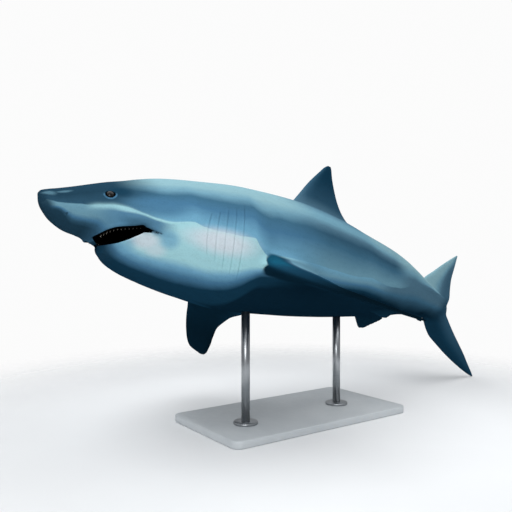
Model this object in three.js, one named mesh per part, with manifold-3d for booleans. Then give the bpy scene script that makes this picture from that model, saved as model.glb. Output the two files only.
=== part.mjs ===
// A great white shark (Carcharodon carcharias) at life size, swimming in a slight turn, on a plain
// display stand. Millimetres, +Z up. The shark heads along -X, with its left side towards -Y.
// The origin is the centre of the underside of the stand's base.
//
// The animal is shaped straight first. Its places and sizes are shares of the total length: the
// station s runs from the snout (0) to the tip of the tail, y points to its right and z up from its
// axis. swim() then turns, droops and banks the straight animal into its pose above the base.

import * as THREE from "three";
import { mergeVertices } from "three/addons/utils/BufferGeometryUtils.js";
import Module from "manifold-3d";

// ---------------------------------------------------------------- driving dimensions

const TOTAL_LENGTH = 4500; // snout to the tip of the upper tail lobe
const GAP = 0.3; // between neighbouring solids

const degrees = THREE.MathUtils.degToRad;
const HEAD_UP = degrees(9.6);
const BANK = degrees(12.5);
const TAIL_TURN = degrees(9.5);
const TAIL_DROOP = degrees(3.6);
const TAIL_TWIST = degrees(4.2);
const TURN_FROM = 0.25;
const TURN_TO = 0.8;
const TWIST_FROM = 0.45;
const HUNG_STATION = 0.4; // this point of the axis is straight above the origin
const AXIS_HEIGHT = 1150;

const RING_POINTS = 32;
const HEAD_END = 0.175;
const GILLS_END = 0.264;
const TRUNK_END = 0.61;
const STOCK_END = 0.757;
const FLESH_END = 0.865; // the fleshy core of the tail fin

// The body's outline: station, back line, half width, belly line.
const BODY_OUTLINE = [
  [0, 0.005, 0, 0.005],
  [0.003, 0.01, 0.0059, -0.0052],
  [0.01, 0.0135, 0.013, -0.0146],
  [0.02, 0.0179, 0.019, -0.0238],
  [0.04, 0.0247, 0.0299, -0.0328],
  [0.062, 0.0328, 0.0405, -0.0385],
  [0.08, 0.0396, 0.047, -0.05],
  [0.1, 0.0457, 0.0575, -0.0665],
  [0.12, 0.0526, 0.0645, -0.0745],
  [0.15, 0.0612, 0.0706, -0.0828],
  [0.2, 0.0699, 0.0803, -0.0927],
  [0.28, 0.0805, 0.0874, -0.1025],
  [0.38, 0.0842, 0.0855, -0.0981],
  [0.46, 0.0803, 0.0774, -0.0903],
  [0.55, 0.0712, 0.062, -0.078],
  [0.64, 0.0657, 0.046, -0.0624],
  [0.68, 0.0603, 0.0398, -0.0538],
  [0.72, 0.0513, 0.0338, -0.0447],
  [0.77, 0.0345, 0.0282, -0.0326],
  [0.81, 0.024, 0.0235, -0.0258],
  [0.84, 0.0165, 0.014, -0.0185],
  [FLESH_END, 0.008, 0.005, -0.009],
];

// The lower jaw: station, belly line, half width as a share of the head's there.
const JAW_OUTLINE = [
  [0.079, -0.0505, 0.5],
  [0.0805, -0.0535, 0.52],
  [0.085, -0.0572, 0.6],
  [0.088, -0.0595, 0.7],
  [0.092, -0.0622, 0.83],
  [0.1, -0.0662, 0.94],
  [0.105, -0.0685, 0.97],
  [0.12, -0.0745, 0.99],
  [0.14, -0.0802, 1],
];

// The lips: station and height, from the front to the corner of the mouth.
const UPPER_LIP = [
  [0.05, -0.05],
  [0.0636, -0.0396],
  [0.0706, -0.0362],
  [0.077, -0.0323],
  [0.0861, -0.0291],
  [0.103, -0.0275],
  [0.1126, -0.0256],
  [0.1176, -0.0285],
  [0.1294, -0.032],
];
const LOWER_LIP = [
  [0.07, -0.0504],
  [0.0797, -0.0498],
  [0.0908, -0.0455],
  [0.0995, -0.043],
  [0.1087, -0.0381],
  [0.1178, -0.0334],
  [0.1294, -0.0326],
];
const MOUTH_CORNER = 0.1395;
const CORNER_HEIGHT = -0.0338;
// The hollow of the mouth: station, half width, roof, floor.
const MOUTH_POCKET = [
  [0.0845, 0.008, -0.0375, -0.045],
  [0.09, 0.021, -0.026, -0.0505],
  [0.1, 0.035, -0.016, -0.0555],
  [0.12, 0.046, -0.0115, -0.0595],
  [0.14, 0.048, -0.013, -0.058],
  [0.155, 0.036, -0.022, -0.048],
  [0.162, 0.012, -0.03, -0.039],
];
const LIP_FOLD = { radius: 6, end: 0.127, sides: 6, rings: 18 };

const EYE = { station: 0.0747, angle: degrees(69.1), radius: 28, proud: 10, rim: 6 };
const NOSTRIL = { station: 0.031, angle: degrees(122), length: 30, width: 9, depth: 11 };
const GILLS = { count: 5, from: 0.196, pitch: 0.0128, top: 72, bottom: 128, width: 7, depth: 16 };

// Each jaw's row of teeth stands a little behind and inside the lip.
const TEETH = { upper: 26, lower: 22, height: 20, width: 19, thickness: 6, sunk: 9 };
const TOOTH_ROW = { behind: 0.0045, inside: 0.86, end: 0.114 };

// The fins' outlines: distance from the body's axis or root, leading edge, trailing edge, thickness.
const DORSAL = [
  [0.06, 0.386, 0.556, 0.02],
  [0.0815, 0.391, 0.547, 0.0165],
  [0.0899, 0.3989, 0.5285, 0.0125],
  [0.1092, 0.415, 0.511, 0.0105],
  [0.1362, 0.4372, 0.4998, 0.0085],
  [0.1647, 0.4644, 0.4935, 0.0055],
  [0.176, 0.4758, 0.4925, 0.004],
  [0.1812, 0.4835, 0.491, 0.0025],
];
const SECOND_DORSAL = [
  [0.035, 0.712, 0.74, 0.005],
  [0.0525, 0.717, 0.738, 0.004],
  [0.0575, 0.7245, 0.7375, 0.003],
  [0.0625, 0.7315, 0.7395, 0.0018],
];
const ANAL = [
  [-0.025, 0.727, 0.752, 0.005],
  [-0.043, 0.732, 0.75, 0.004],
  [-0.0485, 0.739, 0.7515, 0.003],
  [-0.0535, 0.747, 0.755, 0.0018],
];
const CAUDAL = [
  [-0.1322, 0.946, 0.9555, 0.002],
  [-0.128, 0.925, 0.9535, 0.0035],
  [-0.1061, 0.853, 0.9375, 0.006],
  [-0.0874, 0.81, 0.9245, 0.0075],
  [-0.0712, 0.78, 0.91, 0.0085],
  [-0.0496, 0.769, 0.8905, 0.0095],
  [-0.025, 0.765, 0.8725, 0.0105],
  [-0.0084, 0.765, 0.8636, 0.011],
  [0.008, 0.765, 0.8769, 0.0105],
  [0.0254, 0.768, 0.8915, 0.0095],
  [0.0448, 0.786, 0.899, 0.0085],
  [0.0715, 0.831, 0.9115, 0.007],
  [0.1057, 0.89, 0.9355, 0.005],
  [0.125, 0.9252, 0.949, 0.0035],
  [0.1415, 0.956, 0.9605, 0.002],
];
const PECTORAL = [
  [-0.04, 0.012, 0.088, 0.018],
  [-0.01, 0.003, 0.096, 0.0165],
  [0.0171, 0.0022, 0.1138, 0.0135],
  [0.0433, 0.0119, 0.0966, 0.011],
  [0.0706, 0.0262, 0.0948, 0.0095],
  [0.1041, 0.0472, 0.1065, 0.0075],
  [0.1328, 0.0685, 0.1205, 0.0055],
  [0.1487, 0.0869, 0.1268, 0.004],
  [0.1586, 0.1078, 0.13, 0.003],
  [0.1636, 0.1215, 0.1285, 0.002],
];
const PELVIC = [
  [-0.02, -0.004, 0.05, 0.007],
  [0, 0, 0.054, 0.006],
  [0.005, 0.004, 0.068, 0.0045],
  [0.012, 0.011, 0.053, 0.0035],
  [0.02, 0.021, 0.036, 0.002],
];
// Where the paired fins grow: the root of the leading edge, the way of the chord and the way
// outwards, each as station, outwards from the middle, up. The two sides are held a little unalike.
const PECTORAL_ROOTS = {
  left: { at: [0.2851, 0.0886, -0.0544], chord: [0.995, 0.044, -0.093], out: [-0.079, 0.905, -0.419] },
  right: { at: [0.277, 0.0886, -0.0625], chord: [0.996, 0, -0.092], out: [-0.034, 0.929, -0.369] },
};
const PELVIC_ROOTS = {
  left: { at: [0.565, 0.024, -0.069], chord: [0.99, 0, 0.14], out: [0.07, 0.75, -0.66] },
  right: { at: [0.572, 0.022, -0.069], chord: [0.99, 0, 0.14], out: [0.05, 0.5, -0.86] },
};
const NOTCH_HEIGHT = -0.0084; // the notch between the lobes of the tail fin
const FIN_SECTIONS = 12;
const FIN_EDGE = 1.6; // half the thickness of a fin's trailing edge

const BASE = { length: 1500, width: 800, height: 50, corner: 60, bevel: 5 };
const ROD = { radius: 28, flangeRadius: 80, flangeHeight: 16, sides: 24, sunk: 120 };
const ROD_STATIONS = { front: 0.31, rear: 0.5 };

// ---------------------------------------------------------------- materials

const finish = (colour, roughness, metalness = 0) =>
  new THREE.MeshStandardMaterial({ color: colour, roughness, metalness });
const SKIN = finish(0x4f7f9c, 0.35);
const FIN_SKIN = finish(0x2f5670, 0.35);
const EYE_BLACK = finish(0x0b0c0e, 0.08);
const STAND_PAINT = finish(0xd9dadb, 0.6);
const STAND_STEEL = finish(0xb4b7ba, 0.3, 1);

// ---------------------------------------------------------------- curves

// A monotone cubic through the rows' first column and the given column, held level past its ends.
function curve(rows, column = 1) {
  const xs = rows.map((row) => row[0]);
  const ys = rows.map((row) => row[column]);
  const slopes = xs.slice(1).map((x, i) => (ys[i + 1] - ys[i]) / (x - xs[i]));
  const tangents = xs.map((x, i) => {
    if (i === 0) return slopes[0];
    if (i === xs.length - 1) return slopes[i - 1];
    if (slopes[i - 1] * slopes[i] <= 0) return 0;
    const before = xs[i] - xs[i - 1];
    const after = xs[i + 1] - xs[i];
    const weight = 2 * after + before;
    const other = after + 2 * before;
    return (weight + other) / (weight / slopes[i - 1] + other / slopes[i]);
  });
  return (x) => {
    if (x <= xs[0]) return ys[0];
    if (x >= xs[xs.length - 1]) return ys[ys.length - 1];
    const i = xs.findIndex((end) => end > x) - 1;
    const span = xs[i + 1] - xs[i];
    const t = (x - xs[i]) / span;
    const rise = t * t * (3 - 2 * t);
    const lead = t * (1 - t) * (1 - t) * span * tangents[i];
    const trail = t * t * (1 - t) * span * tangents[i + 1];
    return ys[i] + (ys[i + 1] - ys[i]) * rise + lead - trail;
  };
}

// Equal steps from one number to another, bunched towards the first by a power above 1.
function steps(from, to, count, power = 1) {
  return Array.from({ length: count + 1 }, (_, i) => from + (to - from) * (i / count) ** power);
}

// Numbers from 0 to 1 that come out the same each time.
function seeded(seed) {
  let state = seed;
  return () => {
    state = (state * 1664525 + 1013904223) % 4294967296;
    return state / 4294967296;
  };
}

// ---------------------------------------------------------------- the swimming pose

const turn = (s) => TAIL_TURN * THREE.MathUtils.smoothstep(s, TURN_FROM, TURN_TO);
const droop = (s) => TAIL_DROOP * THREE.MathUtils.smoothstep(s, TURN_FROM, TURN_TO);
const twist = (s) => TAIL_TWIST * THREE.MathUtils.smoothstep(s, TWIST_FROM, TURN_TO);
const heading = (s) =>
  new THREE.Vector3(
    Math.cos(turn(s)) * Math.cos(droop(s)),
    Math.sin(turn(s)) * Math.cos(droop(s)),
    -Math.sin(droop(s)),
  );

// The bent axis, as points a small step of station apart.
const AXIS_STEP = 0.0025;
const AXIS = [new THREE.Vector3()];
for (let s = AXIS_STEP; s < 1.05; s += AXIS_STEP) {
  const direction = heading(s - AXIS_STEP / 2);
  AXIS.push(AXIS[AXIS.length - 1].clone().addScaledVector(direction, AXIS_STEP));
}

const STANCE = new THREE.Matrix4()
  .makeTranslation(0, 0, AXIS_HEIGHT)
  .multiply(new THREE.Matrix4().makeRotationY(HEAD_UP))
  .multiply(new THREE.Matrix4().makeRotationX(-BANK))
  .multiply(new THREE.Matrix4().makeScale(TOTAL_LENGTH, TOTAL_LENGTH, TOTAL_LENGTH))
  .multiply(new THREE.Matrix4().makeTranslation(-HUNG_STATION, 0, 0));

// A point of the straight animal, in its place in the pose.
function swim([s, y, z]) {
  const index = Math.floor(THREE.MathUtils.clamp(s / AXIS_STEP, 0, AXIS.length - 2));
  const point = AXIS[index].clone().lerp(AXIS[index + 1], s / AXIS_STEP - index);
  const side = new THREE.Vector3(-Math.sin(turn(s)), Math.cos(turn(s)), 0);
  const up = heading(s).cross(side);
  const rolledY = y * Math.cos(twist(s)) + z * Math.sin(twist(s));
  const rolledZ = z * Math.cos(twist(s)) - y * Math.sin(twist(s));
  return point.addScaledVector(side, rolledY).addScaledVector(up, rolledZ).applyMatrix4(STANCE);
}

// ---------------------------------------------------------------- solids

const wasm = await Module();
wasm.setup();

// A solid from points and triangles, turned so that its faces point out.
function solid(points, triangles) {
  const vertProperties = new Float32Array(points.flatMap((p) => [p.x, p.y, p.z]));
  const build = (faces) =>
    new wasm.Manifold(
      new wasm.Mesh({ numProp: 3, vertProperties, triVerts: new Uint32Array(faces.flat()) }),
    );
  const made = build(triangles);
  return made.volume() < 0 ? build(triangles.map(([a, b, c]) => [a, c, b])) : made;
}

// The solid of a three.js geometry, each point moved by place.
function solidOf(geometry, place = (p) => p) {
  const bare = geometry.clone();
  bare.deleteAttribute("normal");
  bare.deleteAttribute("uv");
  const merged = mergeVertices(bare, 1e-6);
  const positions = merged.getAttribute("position");
  const corners = Array.from(merged.index.array);
  const points = Array.from({ length: positions.count }, (_, i) =>
    place(new THREE.Vector3().fromBufferAttribute(positions, i)),
  );
  const triangles = [];
  for (let i = 0; i < corners.length; i += 3) {
    const [a, b, c] = corners.slice(i, i + 3);
    if (a !== b && b !== c && c !== a) triangles.push([a, b, c]);
  }
  return solid(points, triangles);
}

// The skin over a row of rings with equally many points, closed by a flat fan at either end. The two
// halves of each ring are split into triangles alike, mirrored, so that thin shapes stay true.
function loft(rings) {
  const points = rings.flat();
  const count = rings[0].length;
  const triangles = [];
  for (let i = 0; i + 1 < rings.length; i += 1) {
    for (let j = 0; j < count; j += 1) {
      const next = (j + 1) % count;
      const [a, b] = [i * count + j, i * count + next];
      const [c, d] = [a + count, b + count];
      if (j < count / 2) triangles.push([a, b, c], [b, d, c]);
      else triangles.push([a, b, d], [a, d, c]);
    }
  }
  for (const [ring, first] of [[rings[0], 0], [rings[rings.length - 1], points.length - count]]) {
    const middle = ring.reduce((sum, p) => sum.add(p), new THREE.Vector3()).divideScalar(count);
    const hub = points.push(middle) - 1;
    for (let j = 0; j < count; j += 1) {
      const [a, b] = [first + j, first + ((j + 1) % count)];
      triangles.push(first === 0 ? [hub, b, a] : [hub, a, b]);
    }
  }
  return solid(points, triangles);
}

const cut = (body, ...tools) => tools.reduce((left, tool) => left.subtract(tool), body);
const join = (...bodies) => bodies.reduce((sum, body) => sum.add(body));
const largest = (body) => body.decompose().reduce((a, b) => (b.volume() > a.volume() ? b : a));

// ---------------------------------------------------------------- the body

const BODY = {
  front: UPPER_LIP[0][0],
  back: curve(BODY_OUTLINE, 1),
  width: curve(BODY_OUTLINE, 2),
  belly: curve(BODY_OUTLINE, 3),
};
const jawShare = curve(JAW_OUTLINE, 2);
const JAW = {
  front: JAW_OUTLINE[0][0],
  back: BODY.back,
  width: (s) => BODY.width(s) * jawShare(s),
  belly: curve(JAW_OUTLINE, 1),
};

// The ridges along both sides of the tail stock.
const KEEL = { from: 0.68, full: 0.76, fade: 0.82, end: 0.862, height: 0.007, sharpness: 24 };
const keel = (s) =>
  KEEL.height *
  THREE.MathUtils.smoothstep(s, KEEL.from, KEEL.full) *
  (1 - THREE.MathUtils.smoothstep(s, KEEL.fade, KEEL.end));

// A point of the surface: angle 0 is the back, 90 degrees the left side. More is millimetres
// outside the surface.
function surface(s, angle, more = 0, shape = BODY) {
  const grow = more / TOTAL_LENGTH;
  const middle = (shape.back(s) + shape.belly(s)) / 2;
  const half = (shape.back(s) - shape.belly(s)) / 2 + grow;
  const ridge = keel(s) * Math.abs(Math.sin(angle)) ** KEEL.sharpness;
  return [s, -(shape.width(s) + grow + ridge) * Math.sin(angle), middle + half * Math.cos(angle)];
}

// How far out the surface is at a station and height.
function widthAt(s, z, shape) {
  const middle = (shape.back(s) + shape.belly(s)) / 2;
  const rise = (z - middle) / (shape.back(s) - middle);
  return shape.width(s) * Math.sqrt(Math.max(1 - rise * rise, 0));
}

function bodyLoft(stations, more = 0, shape = BODY) {
  const angles = steps(0, 2 * Math.PI, RING_POINTS).slice(1);
  return loft(stations.map((s) => angles.map((angle) => swim(surface(s, angle, more, shape)))));
}

// The direction straight out of the body's surface, in the pose.
function outwards(s, angle) {
  return new THREE.Vector3().subVectors(swim(surface(s, angle, 1)), swim(surface(s, angle))).normalize();
}

const SMALLEST_STATION = 0.0006;
const THIN_CUT = GAP / TOTAL_LENGTH;
const HEAD_STATIONS = steps(SMALLEST_STATION, HEAD_END, 20, 1.5);
const GILL_STATIONS = steps(HEAD_END + THIN_CUT, GILLS_END, 6);
const TRUNK_STATIONS = steps(GILLS_END + THIN_CUT, TRUNK_END, 14);
const STOCK_STATIONS = steps(TRUNK_END + THIN_CUT, STOCK_END, 7);
const FLESH_STATIONS = steps(STOCK_END + THIN_CUT, FLESH_END, 6);

const BELOW_BODY = -0.2;
const ABOVE_JAW = 0.1;
const ACROSS = 0.3;

// A flat outline of station and height, run across the whole width of the body, some millimetres
// lower.
function acrossBody(outline, lower = 0) {
  const shape = new THREE.Shape(outline.map(([s, z]) => new THREE.Vector2(s, z)));
  const geometry = new THREE.ExtrudeGeometry(shape, { depth: ACROSS, bevelEnabled: false });
  const down = new THREE.Vector3(0, 0, -lower);
  return solidOf(geometry, (p) => swim([p.x, p.z - ACROSS / 2, p.y]).add(down));
}

const CORNER_OF_MOUTH = [MOUTH_CORNER, CORNER_HEIGHT];
const POCKET_SIDES = 16;
const mouthPocket = loft(
  MOUTH_POCKET.map(([s, width, roof, floor]) => {
    const middle = (roof + floor) / 2;
    const angles = steps(0, 2 * Math.PI, POCKET_SIDES).slice(1);
    return angles.map((a) => swim([s, width * Math.sin(a), middle + (roof - middle) * Math.cos(a)]));
  }),
);

// The line round a jaw at the height of its lip, from the left corner of the mouth to the right one,
// set behind the edge of the lip and a share of the way out to it.
function mouthLine(lip, shape, end, behind = 0, share = 1) {
  const front = steps(shape.front, end, 200).find((s) => lip(s) > shape.belly(s));
  const right = steps(front, end, 12, 2).map((s) => {
    const out = s === front ? 0 : share * widthAt(s, lip(s), shape);
    return [s + behind, out, lip(s + behind)];
  });
  const left = right.slice(1).reverse();
  const points = [...left.map(([s, y, z]) => [s, -y, z]), ...right].map(swim);
  return new THREE.CatmullRomCurve3(points);
}

const UP = swim([0, 0, 1]).sub(swim([0, 0, 0])).normalize();

// The soft fold along a lip, thinning out towards the corners of the mouth.
function lipFold(line) {
  const { radius, sides, rings } = LIP_FOLD;
  const fade = (u) => radius * Math.max(Math.sin(Math.PI * u), 0.02) ** 0.5;
  return loft(
    steps(0, 1, rings).map((u) => {
      const centre = line.getPointAt(u);
      const out = line.getTangentAt(u).cross(UP).normalize();
      return steps(0, 2 * Math.PI, sides)
        .slice(1)
        .map((a) =>
          centre
            .clone()
            .addScaledVector(out, (Math.cos(a) - 0.4) * fade(u))
            .addScaledVector(UP, Math.sin(a) * fade(u)),
        );
    }),
  );
}

// One tooth: a flat pyramid with its root sunk in the jaw.
function tooth(root, along, out, height, width) {
  const { thickness, sunk } = TEETH;
  const across = new THREE.Vector3().crossVectors(along, out).normalize();
  const corner = (u, v) =>
    root
      .clone()
      .addScaledVector(out, -sunk)
      .addScaledVector(along, (u * width) / 2)
      .addScaledVector(across, (v * thickness) / 2);
  const tip = root.clone().addScaledVector(out, height);
  const points = [corner(-1, -1), corner(1, -1), corner(1, 1), corner(-1, 1), tip];
  const faces = [[0, 1, 4], [1, 2, 4], [2, 3, 4], [3, 0, 4], [0, 2, 1], [0, 3, 2]];
  return solid(points, faces);
}

// A jaw's row of teeth, the largest in front.
function teeth(line, count, out, seed) {
  const random = seeded(seed);
  const row = steps(0.5, count - 0.5, count - 1).map((i) => {
    const u = i / count;
    const size = (0.45 + 0.55 * Math.sin(Math.PI * u)) * (0.9 + 0.2 * random());
    return tooth(line.getPointAt(u), line.getTangentAt(u), out, TEETH.height * size, TEETH.width * size);
  });
  return join(...row);
}

// The teeth and the fold of a jaw's lip.
function mouthEdge(lip, shape, count, out, seed) {
  const { behind, inside, end } = TOOTH_ROW;
  const row = teeth(mouthLine(lip, shape, end, behind, inside), count, out, seed);
  return join(row, lipFold(mouthLine(lip, shape, LIP_FOLD.end)));
}

function eyeball(side, radius) {
  const angle = side * EYE.angle;
  const centre = swim(surface(EYE.station, angle)).addScaledVector(
    outwards(EYE.station, angle),
    EYE.proud - EYE.radius,
  );
  return solidOf(new THREE.SphereGeometry(radius, 16, 10), (p) => p.add(centre));
}

// The fleshy ring round an eye.
function eyeRim(side) {
  const angle = side * EYE.angle;
  const out = outwards(EYE.station, angle);
  const turned = new THREE.Quaternion().setFromUnitVectors(new THREE.Vector3(0, 0, 1), out);
  const centre = swim(surface(EYE.station, angle)).addScaledVector(out, -EYE.rim * 0.4);
  const ring = new THREE.TorusGeometry(EYE.radius - 2, EYE.rim, 6, 16);
  return solidOf(ring, (p) => p.applyQuaternion(turned).add(centre));
}

// A slanted oval pit on the underside of the snout.
function nostril(side) {
  const angle = side * NOSTRIL.angle;
  const out = outwards(NOSTRIL.station, angle);
  const centre = swim(surface(NOSTRIL.station, angle));
  const turned = new THREE.Quaternion().setFromUnitVectors(new THREE.Vector3(0, 0, 1), out);
  const pit = new THREE.SphereGeometry(1, 12, 8);
  return solidOf(pit, (p) =>
    p
      .multiply(new THREE.Vector3(NOSTRIL.length / 2, NOSTRIL.width / 2, NOSTRIL.depth))
      .applyAxisAngle(new THREE.Vector3(0, 0, 1), side * degrees(-35))
      .applyQuaternion(turned)
      .add(centre),
  );
}

// One gill slit: a thin curved groove that runs forwards under the flap in front of it.
function gillSlit(index, side) {
  const { from, pitch, top, bottom, width, depth } = GILLS;
  const longer = 4 * index;
  return loft(
    steps(0, 1, 7).map((t) => {
      const angle = side * degrees(top - longer + (bottom - top + 2 * longer) * t);
      const s = from + pitch * index + 0.006 * Math.sin(Math.PI * t);
      const half = ((0.15 + Math.sin(Math.PI * t)) * width) / 2 / TOTAL_LENGTH;
      const slant = depth / TOTAL_LENGTH;
      const rim = surface(s, angle, 6);
      const floor = surface(s - slant, angle, -depth);
      return [
        [rim[0] - half, rim[1], rim[2]],
        [rim[0] + half, rim[1], rim[2]],
        [floor[0] + half, floor[1], floor[2]],
        [floor[0] - half, floor[1], floor[2]],
      ].map(swim);
    }),
  );
}

function makeHead() {
  const upperLip = curve(UPPER_LIP);
  const underMouth = acrossBody([
    ...UPPER_LIP,
    CORNER_OF_MOUTH,
    [MOUTH_CORNER, BELOW_BODY],
    [UPPER_LIP[0][0], BELOW_BODY],
  ]);
  const skull = cut(bodyLoft(HEAD_STATIONS), underMouth, mouthPocket);
  const edge = mouthEdge(upperLip, BODY, TEETH.upper, UP.clone().negate(), 7);
  const rimmed = join(skull, edge, eyeRim(-1), eyeRim(1));
  const socket = EYE.radius + GAP;
  return largest(cut(rimmed, eyeball(-1, socket), eyeball(1, socket), nostril(-1), nostril(1)));
}

function makeLowerJaw() {
  const lowerLip = curve(LOWER_LIP);
  const aboveMouth = acrossBody([
    ...LOWER_LIP,
    [MOUTH_CORNER, CORNER_HEIGHT - THIN_CUT * 1.5],
    [MOUTH_CORNER, ABOVE_JAW],
    [LOWER_LIP[0][0], ABOVE_JAW],
  ]);
  const stations = steps(JAW.front, MOUTH_CORNER - THIN_CUT, 10, 1.4);
  const jaw = cut(bodyLoft(stations, 0, JAW), aboveMouth, mouthPocket);
  return largest(join(jaw, mouthEdge(lowerLip, JAW, TEETH.lower, UP, 11)));
}

function makeGillRegion() {
  const numbers = steps(0, GILLS.count - 1, GILLS.count - 1);
  const slits = [-1, 1].flatMap((side) => numbers.map((index) => gillSlit(index, side)));
  return largest(cut(bodyLoft(GILL_STATIONS), ...slits));
}

// ---------------------------------------------------------------- the fins

// How thick a fin's section is, as a share of its thickest, along its chord.
const sectionShape = (c) =>
  2.969 * Math.sqrt(c) - 1.26 * c - 3.516 * c ** 2 + 2.843 * c ** 3 - 1.036 * c ** 4;
const CHORD_STEPS = [0.02, 0.09, 0.22, 0.42, 0.7, 1];

// A fin from its outline rows; place puts chord, thickness and span in the straight animal.
function fin(rows, place) {
  const lead = curve(rows, 1);
  const trail = curve(rows, 2);
  const thickness = curve(rows, 3);
  const edge = FIN_EDGE / TOTAL_LENGTH;
  const first = rows[0][0];
  const last = rows[rows.length - 1][0];
  const rings = steps(first, last, FIN_SECTIONS).map((span) => {
    const chord = trail(span) - lead(span);
    const at = (c, side) => {
      const half = (thickness(span) / 2 - edge) * Math.max(sectionShape(c), 0) + edge;
      return swim(place(lead(span) + c * chord, side * half, span));
    };
    const upper = CHORD_STEPS.map((c) => at(c, 1));
    const lower = CHORD_STEPS.map((c) => at(c, -1)).reverse();
    const nose = swim(place(lead(span), 0, span));
    return [nose, ...upper, ...lower];
  });
  return loft(rings);
}

const upright = (rows) => fin(rows, (s, y, z) => [s, y, z]);

// One of a pair of fins, on the given side.
function paired(rows, root, side) {
  const mirrored = ([s, y, z]) => new THREE.Vector3(s, side * y, z);
  const at = mirrored(root.at);
  const chord = mirrored(root.chord).normalize();
  const out = mirrored(root.out).normalize();
  const thick = new THREE.Vector3().crossVectors(chord, out).normalize();
  return fin(rows, (c, t, span) =>
    at.clone().addScaledVector(chord, c).addScaledVector(thick, t).addScaledVector(out, span).toArray(),
  );
}

// The body grown by the gap, for cutting what meets it.
const clearance = bodyLoft(
  [HEAD_STATIONS[HEAD_STATIONS.length - 2], ...GILL_STATIONS, ...TRUNK_STATIONS, ...STOCK_STATIONS],
  GAP * 1.5,
);
const onBody = (piece) => largest(cut(piece, clearance));

// The tail fin's two lobes with the end of the tail's flesh, parted level with the notch.
function makeTailLobes() {
  const whole = join(bodyLoft(FLESH_STATIONS), upright(CAUDAL));
  const under = [
    [TRUNK_END, BELOW_BODY],
    [1, BELOW_BODY],
    [1, NOTCH_HEIGHT],
    [TRUNK_END, NOTCH_HEIGHT],
  ];
  return {
    upper: largest(cut(whole, acrossBody(under))),
    lower: largest(whole.intersect(acrossBody(under, GAP))),
  };
}

// ---------------------------------------------------------------- the stand

function makeBase() {
  const { length, width, height, corner, bevel } = BASE;
  const [x, y] = [length / 2 - bevel, width / 2 - bevel];
  const shape = new THREE.Shape();
  shape.moveTo(-x + corner, -y);
  shape.lineTo(x - corner, -y);
  shape.absarc(x - corner, -y + corner, corner, -Math.PI / 2, 0);
  shape.absarc(x - corner, y - corner, corner, 0, Math.PI / 2);
  shape.absarc(-x + corner, y - corner, corner, Math.PI / 2, Math.PI);
  shape.absarc(-x + corner, -y + corner, corner, Math.PI, (3 * Math.PI) / 2);
  const geometry = new THREE.ExtrudeGeometry(shape, {
    depth: height - 2 * bevel,
    bevelSize: bevel,
    bevelThickness: bevel,
    bevelSegments: 1,
    curveSegments: 6,
  });
  return solidOf(geometry.translate(0, 0, bevel));
}

// The point of the floor straight under the belly at a station.
function foot(station) {
  const belly = swim([station, 0, BODY.belly(station)]);
  return new THREE.Vector3(belly.x, belly.y, 0);
}

// A round bar from one height to another.
function bar(radius, from, to, sides, at) {
  const geometry = new THREE.CylinderGeometry(radius, radius, to - from, sides).rotateX(Math.PI / 2);
  return solidOf(geometry, (p) => p.add(at).add(new THREE.Vector3(0, 0, (from + to) / 2)));
}

function makeFlange(station) {
  const { flangeRadius, flangeHeight, sides } = ROD;
  const bottom = BASE.height + GAP;
  return bar(flangeRadius, bottom, bottom + flangeHeight, sides, foot(station));
}

// A rod from its flange up to the belly.
function makeRod(station) {
  const { radius, flangeHeight, sides, sunk } = ROD;
  const bottom = BASE.height + GAP + flangeHeight + GAP;
  const belly = swim([station, 0, BODY.belly(station)]);
  return onBody(bar(radius, bottom, belly.z + sunk, sides, foot(station)));
}

// ---------------------------------------------------------------- the model

const shark = new THREE.Group();

function add(name, body, material) {
  const { vertProperties, triVerts } = body.getMesh();
  const geometry = new THREE.BufferGeometry();
  geometry.setAttribute("position", new THREE.BufferAttribute(new Float32Array(vertProperties), 3));
  geometry.setIndex(new THREE.BufferAttribute(new Uint32Array(triVerts), 1));
  geometry.computeVertexNormals();
  const mesh = new THREE.Mesh(geometry, material);
  mesh.name = name;
  shark.add(mesh);
}

add("head", makeHead(), SKIN);
add("lower_jaw", makeLowerJaw(), SKIN);
add("gill_region", makeGillRegion(), SKIN);
add("trunk", bodyLoft(TRUNK_STATIONS), SKIN);
add("tail_stock", bodyLoft(STOCK_STATIONS), SKIN);
add("dorsal_fin", onBody(upright(DORSAL)), FIN_SKIN);
add("second_dorsal_fin", onBody(upright(SECOND_DORSAL)), FIN_SKIN);
add("anal_fin", onBody(upright(ANAL)), FIN_SKIN);
const tail = makeTailLobes();
add("caudal_fin_upper", tail.upper, FIN_SKIN);
add("caudal_fin_lower", tail.lower, FIN_SKIN);
for (const [name, side] of [["left", -1], ["right", 1]]) {
  add("eye_" + name, eyeball(-side, EYE.radius), EYE_BLACK);
  add("pectoral_fin_" + name, onBody(paired(PECTORAL, PECTORAL_ROOTS[name], side)), FIN_SKIN);
  add("pelvic_fin_" + name, onBody(paired(PELVIC, PELVIC_ROOTS[name], side)), FIN_SKIN);
}
add("stand_base", makeBase(), STAND_PAINT);
for (const [end, station] of Object.entries(ROD_STATIONS)) {
  add("stand_flange_" + end, makeFlange(station), STAND_STEEL);
  add("stand_rod_" + end, makeRod(station), STAND_STEEL);
}

export default shark;
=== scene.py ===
"""A life-size great white shark on a display stand: the looks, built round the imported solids.

The animal is shaped straight first, in shares of its total length: station s from snout (0) to tail
tip, y to its right, z up from its axis. swim() then puts it in its pose, as the solids are.
"""

import math

import bmesh
import bpy
import numpy as np
from mathutils import Matrix, Vector


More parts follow.
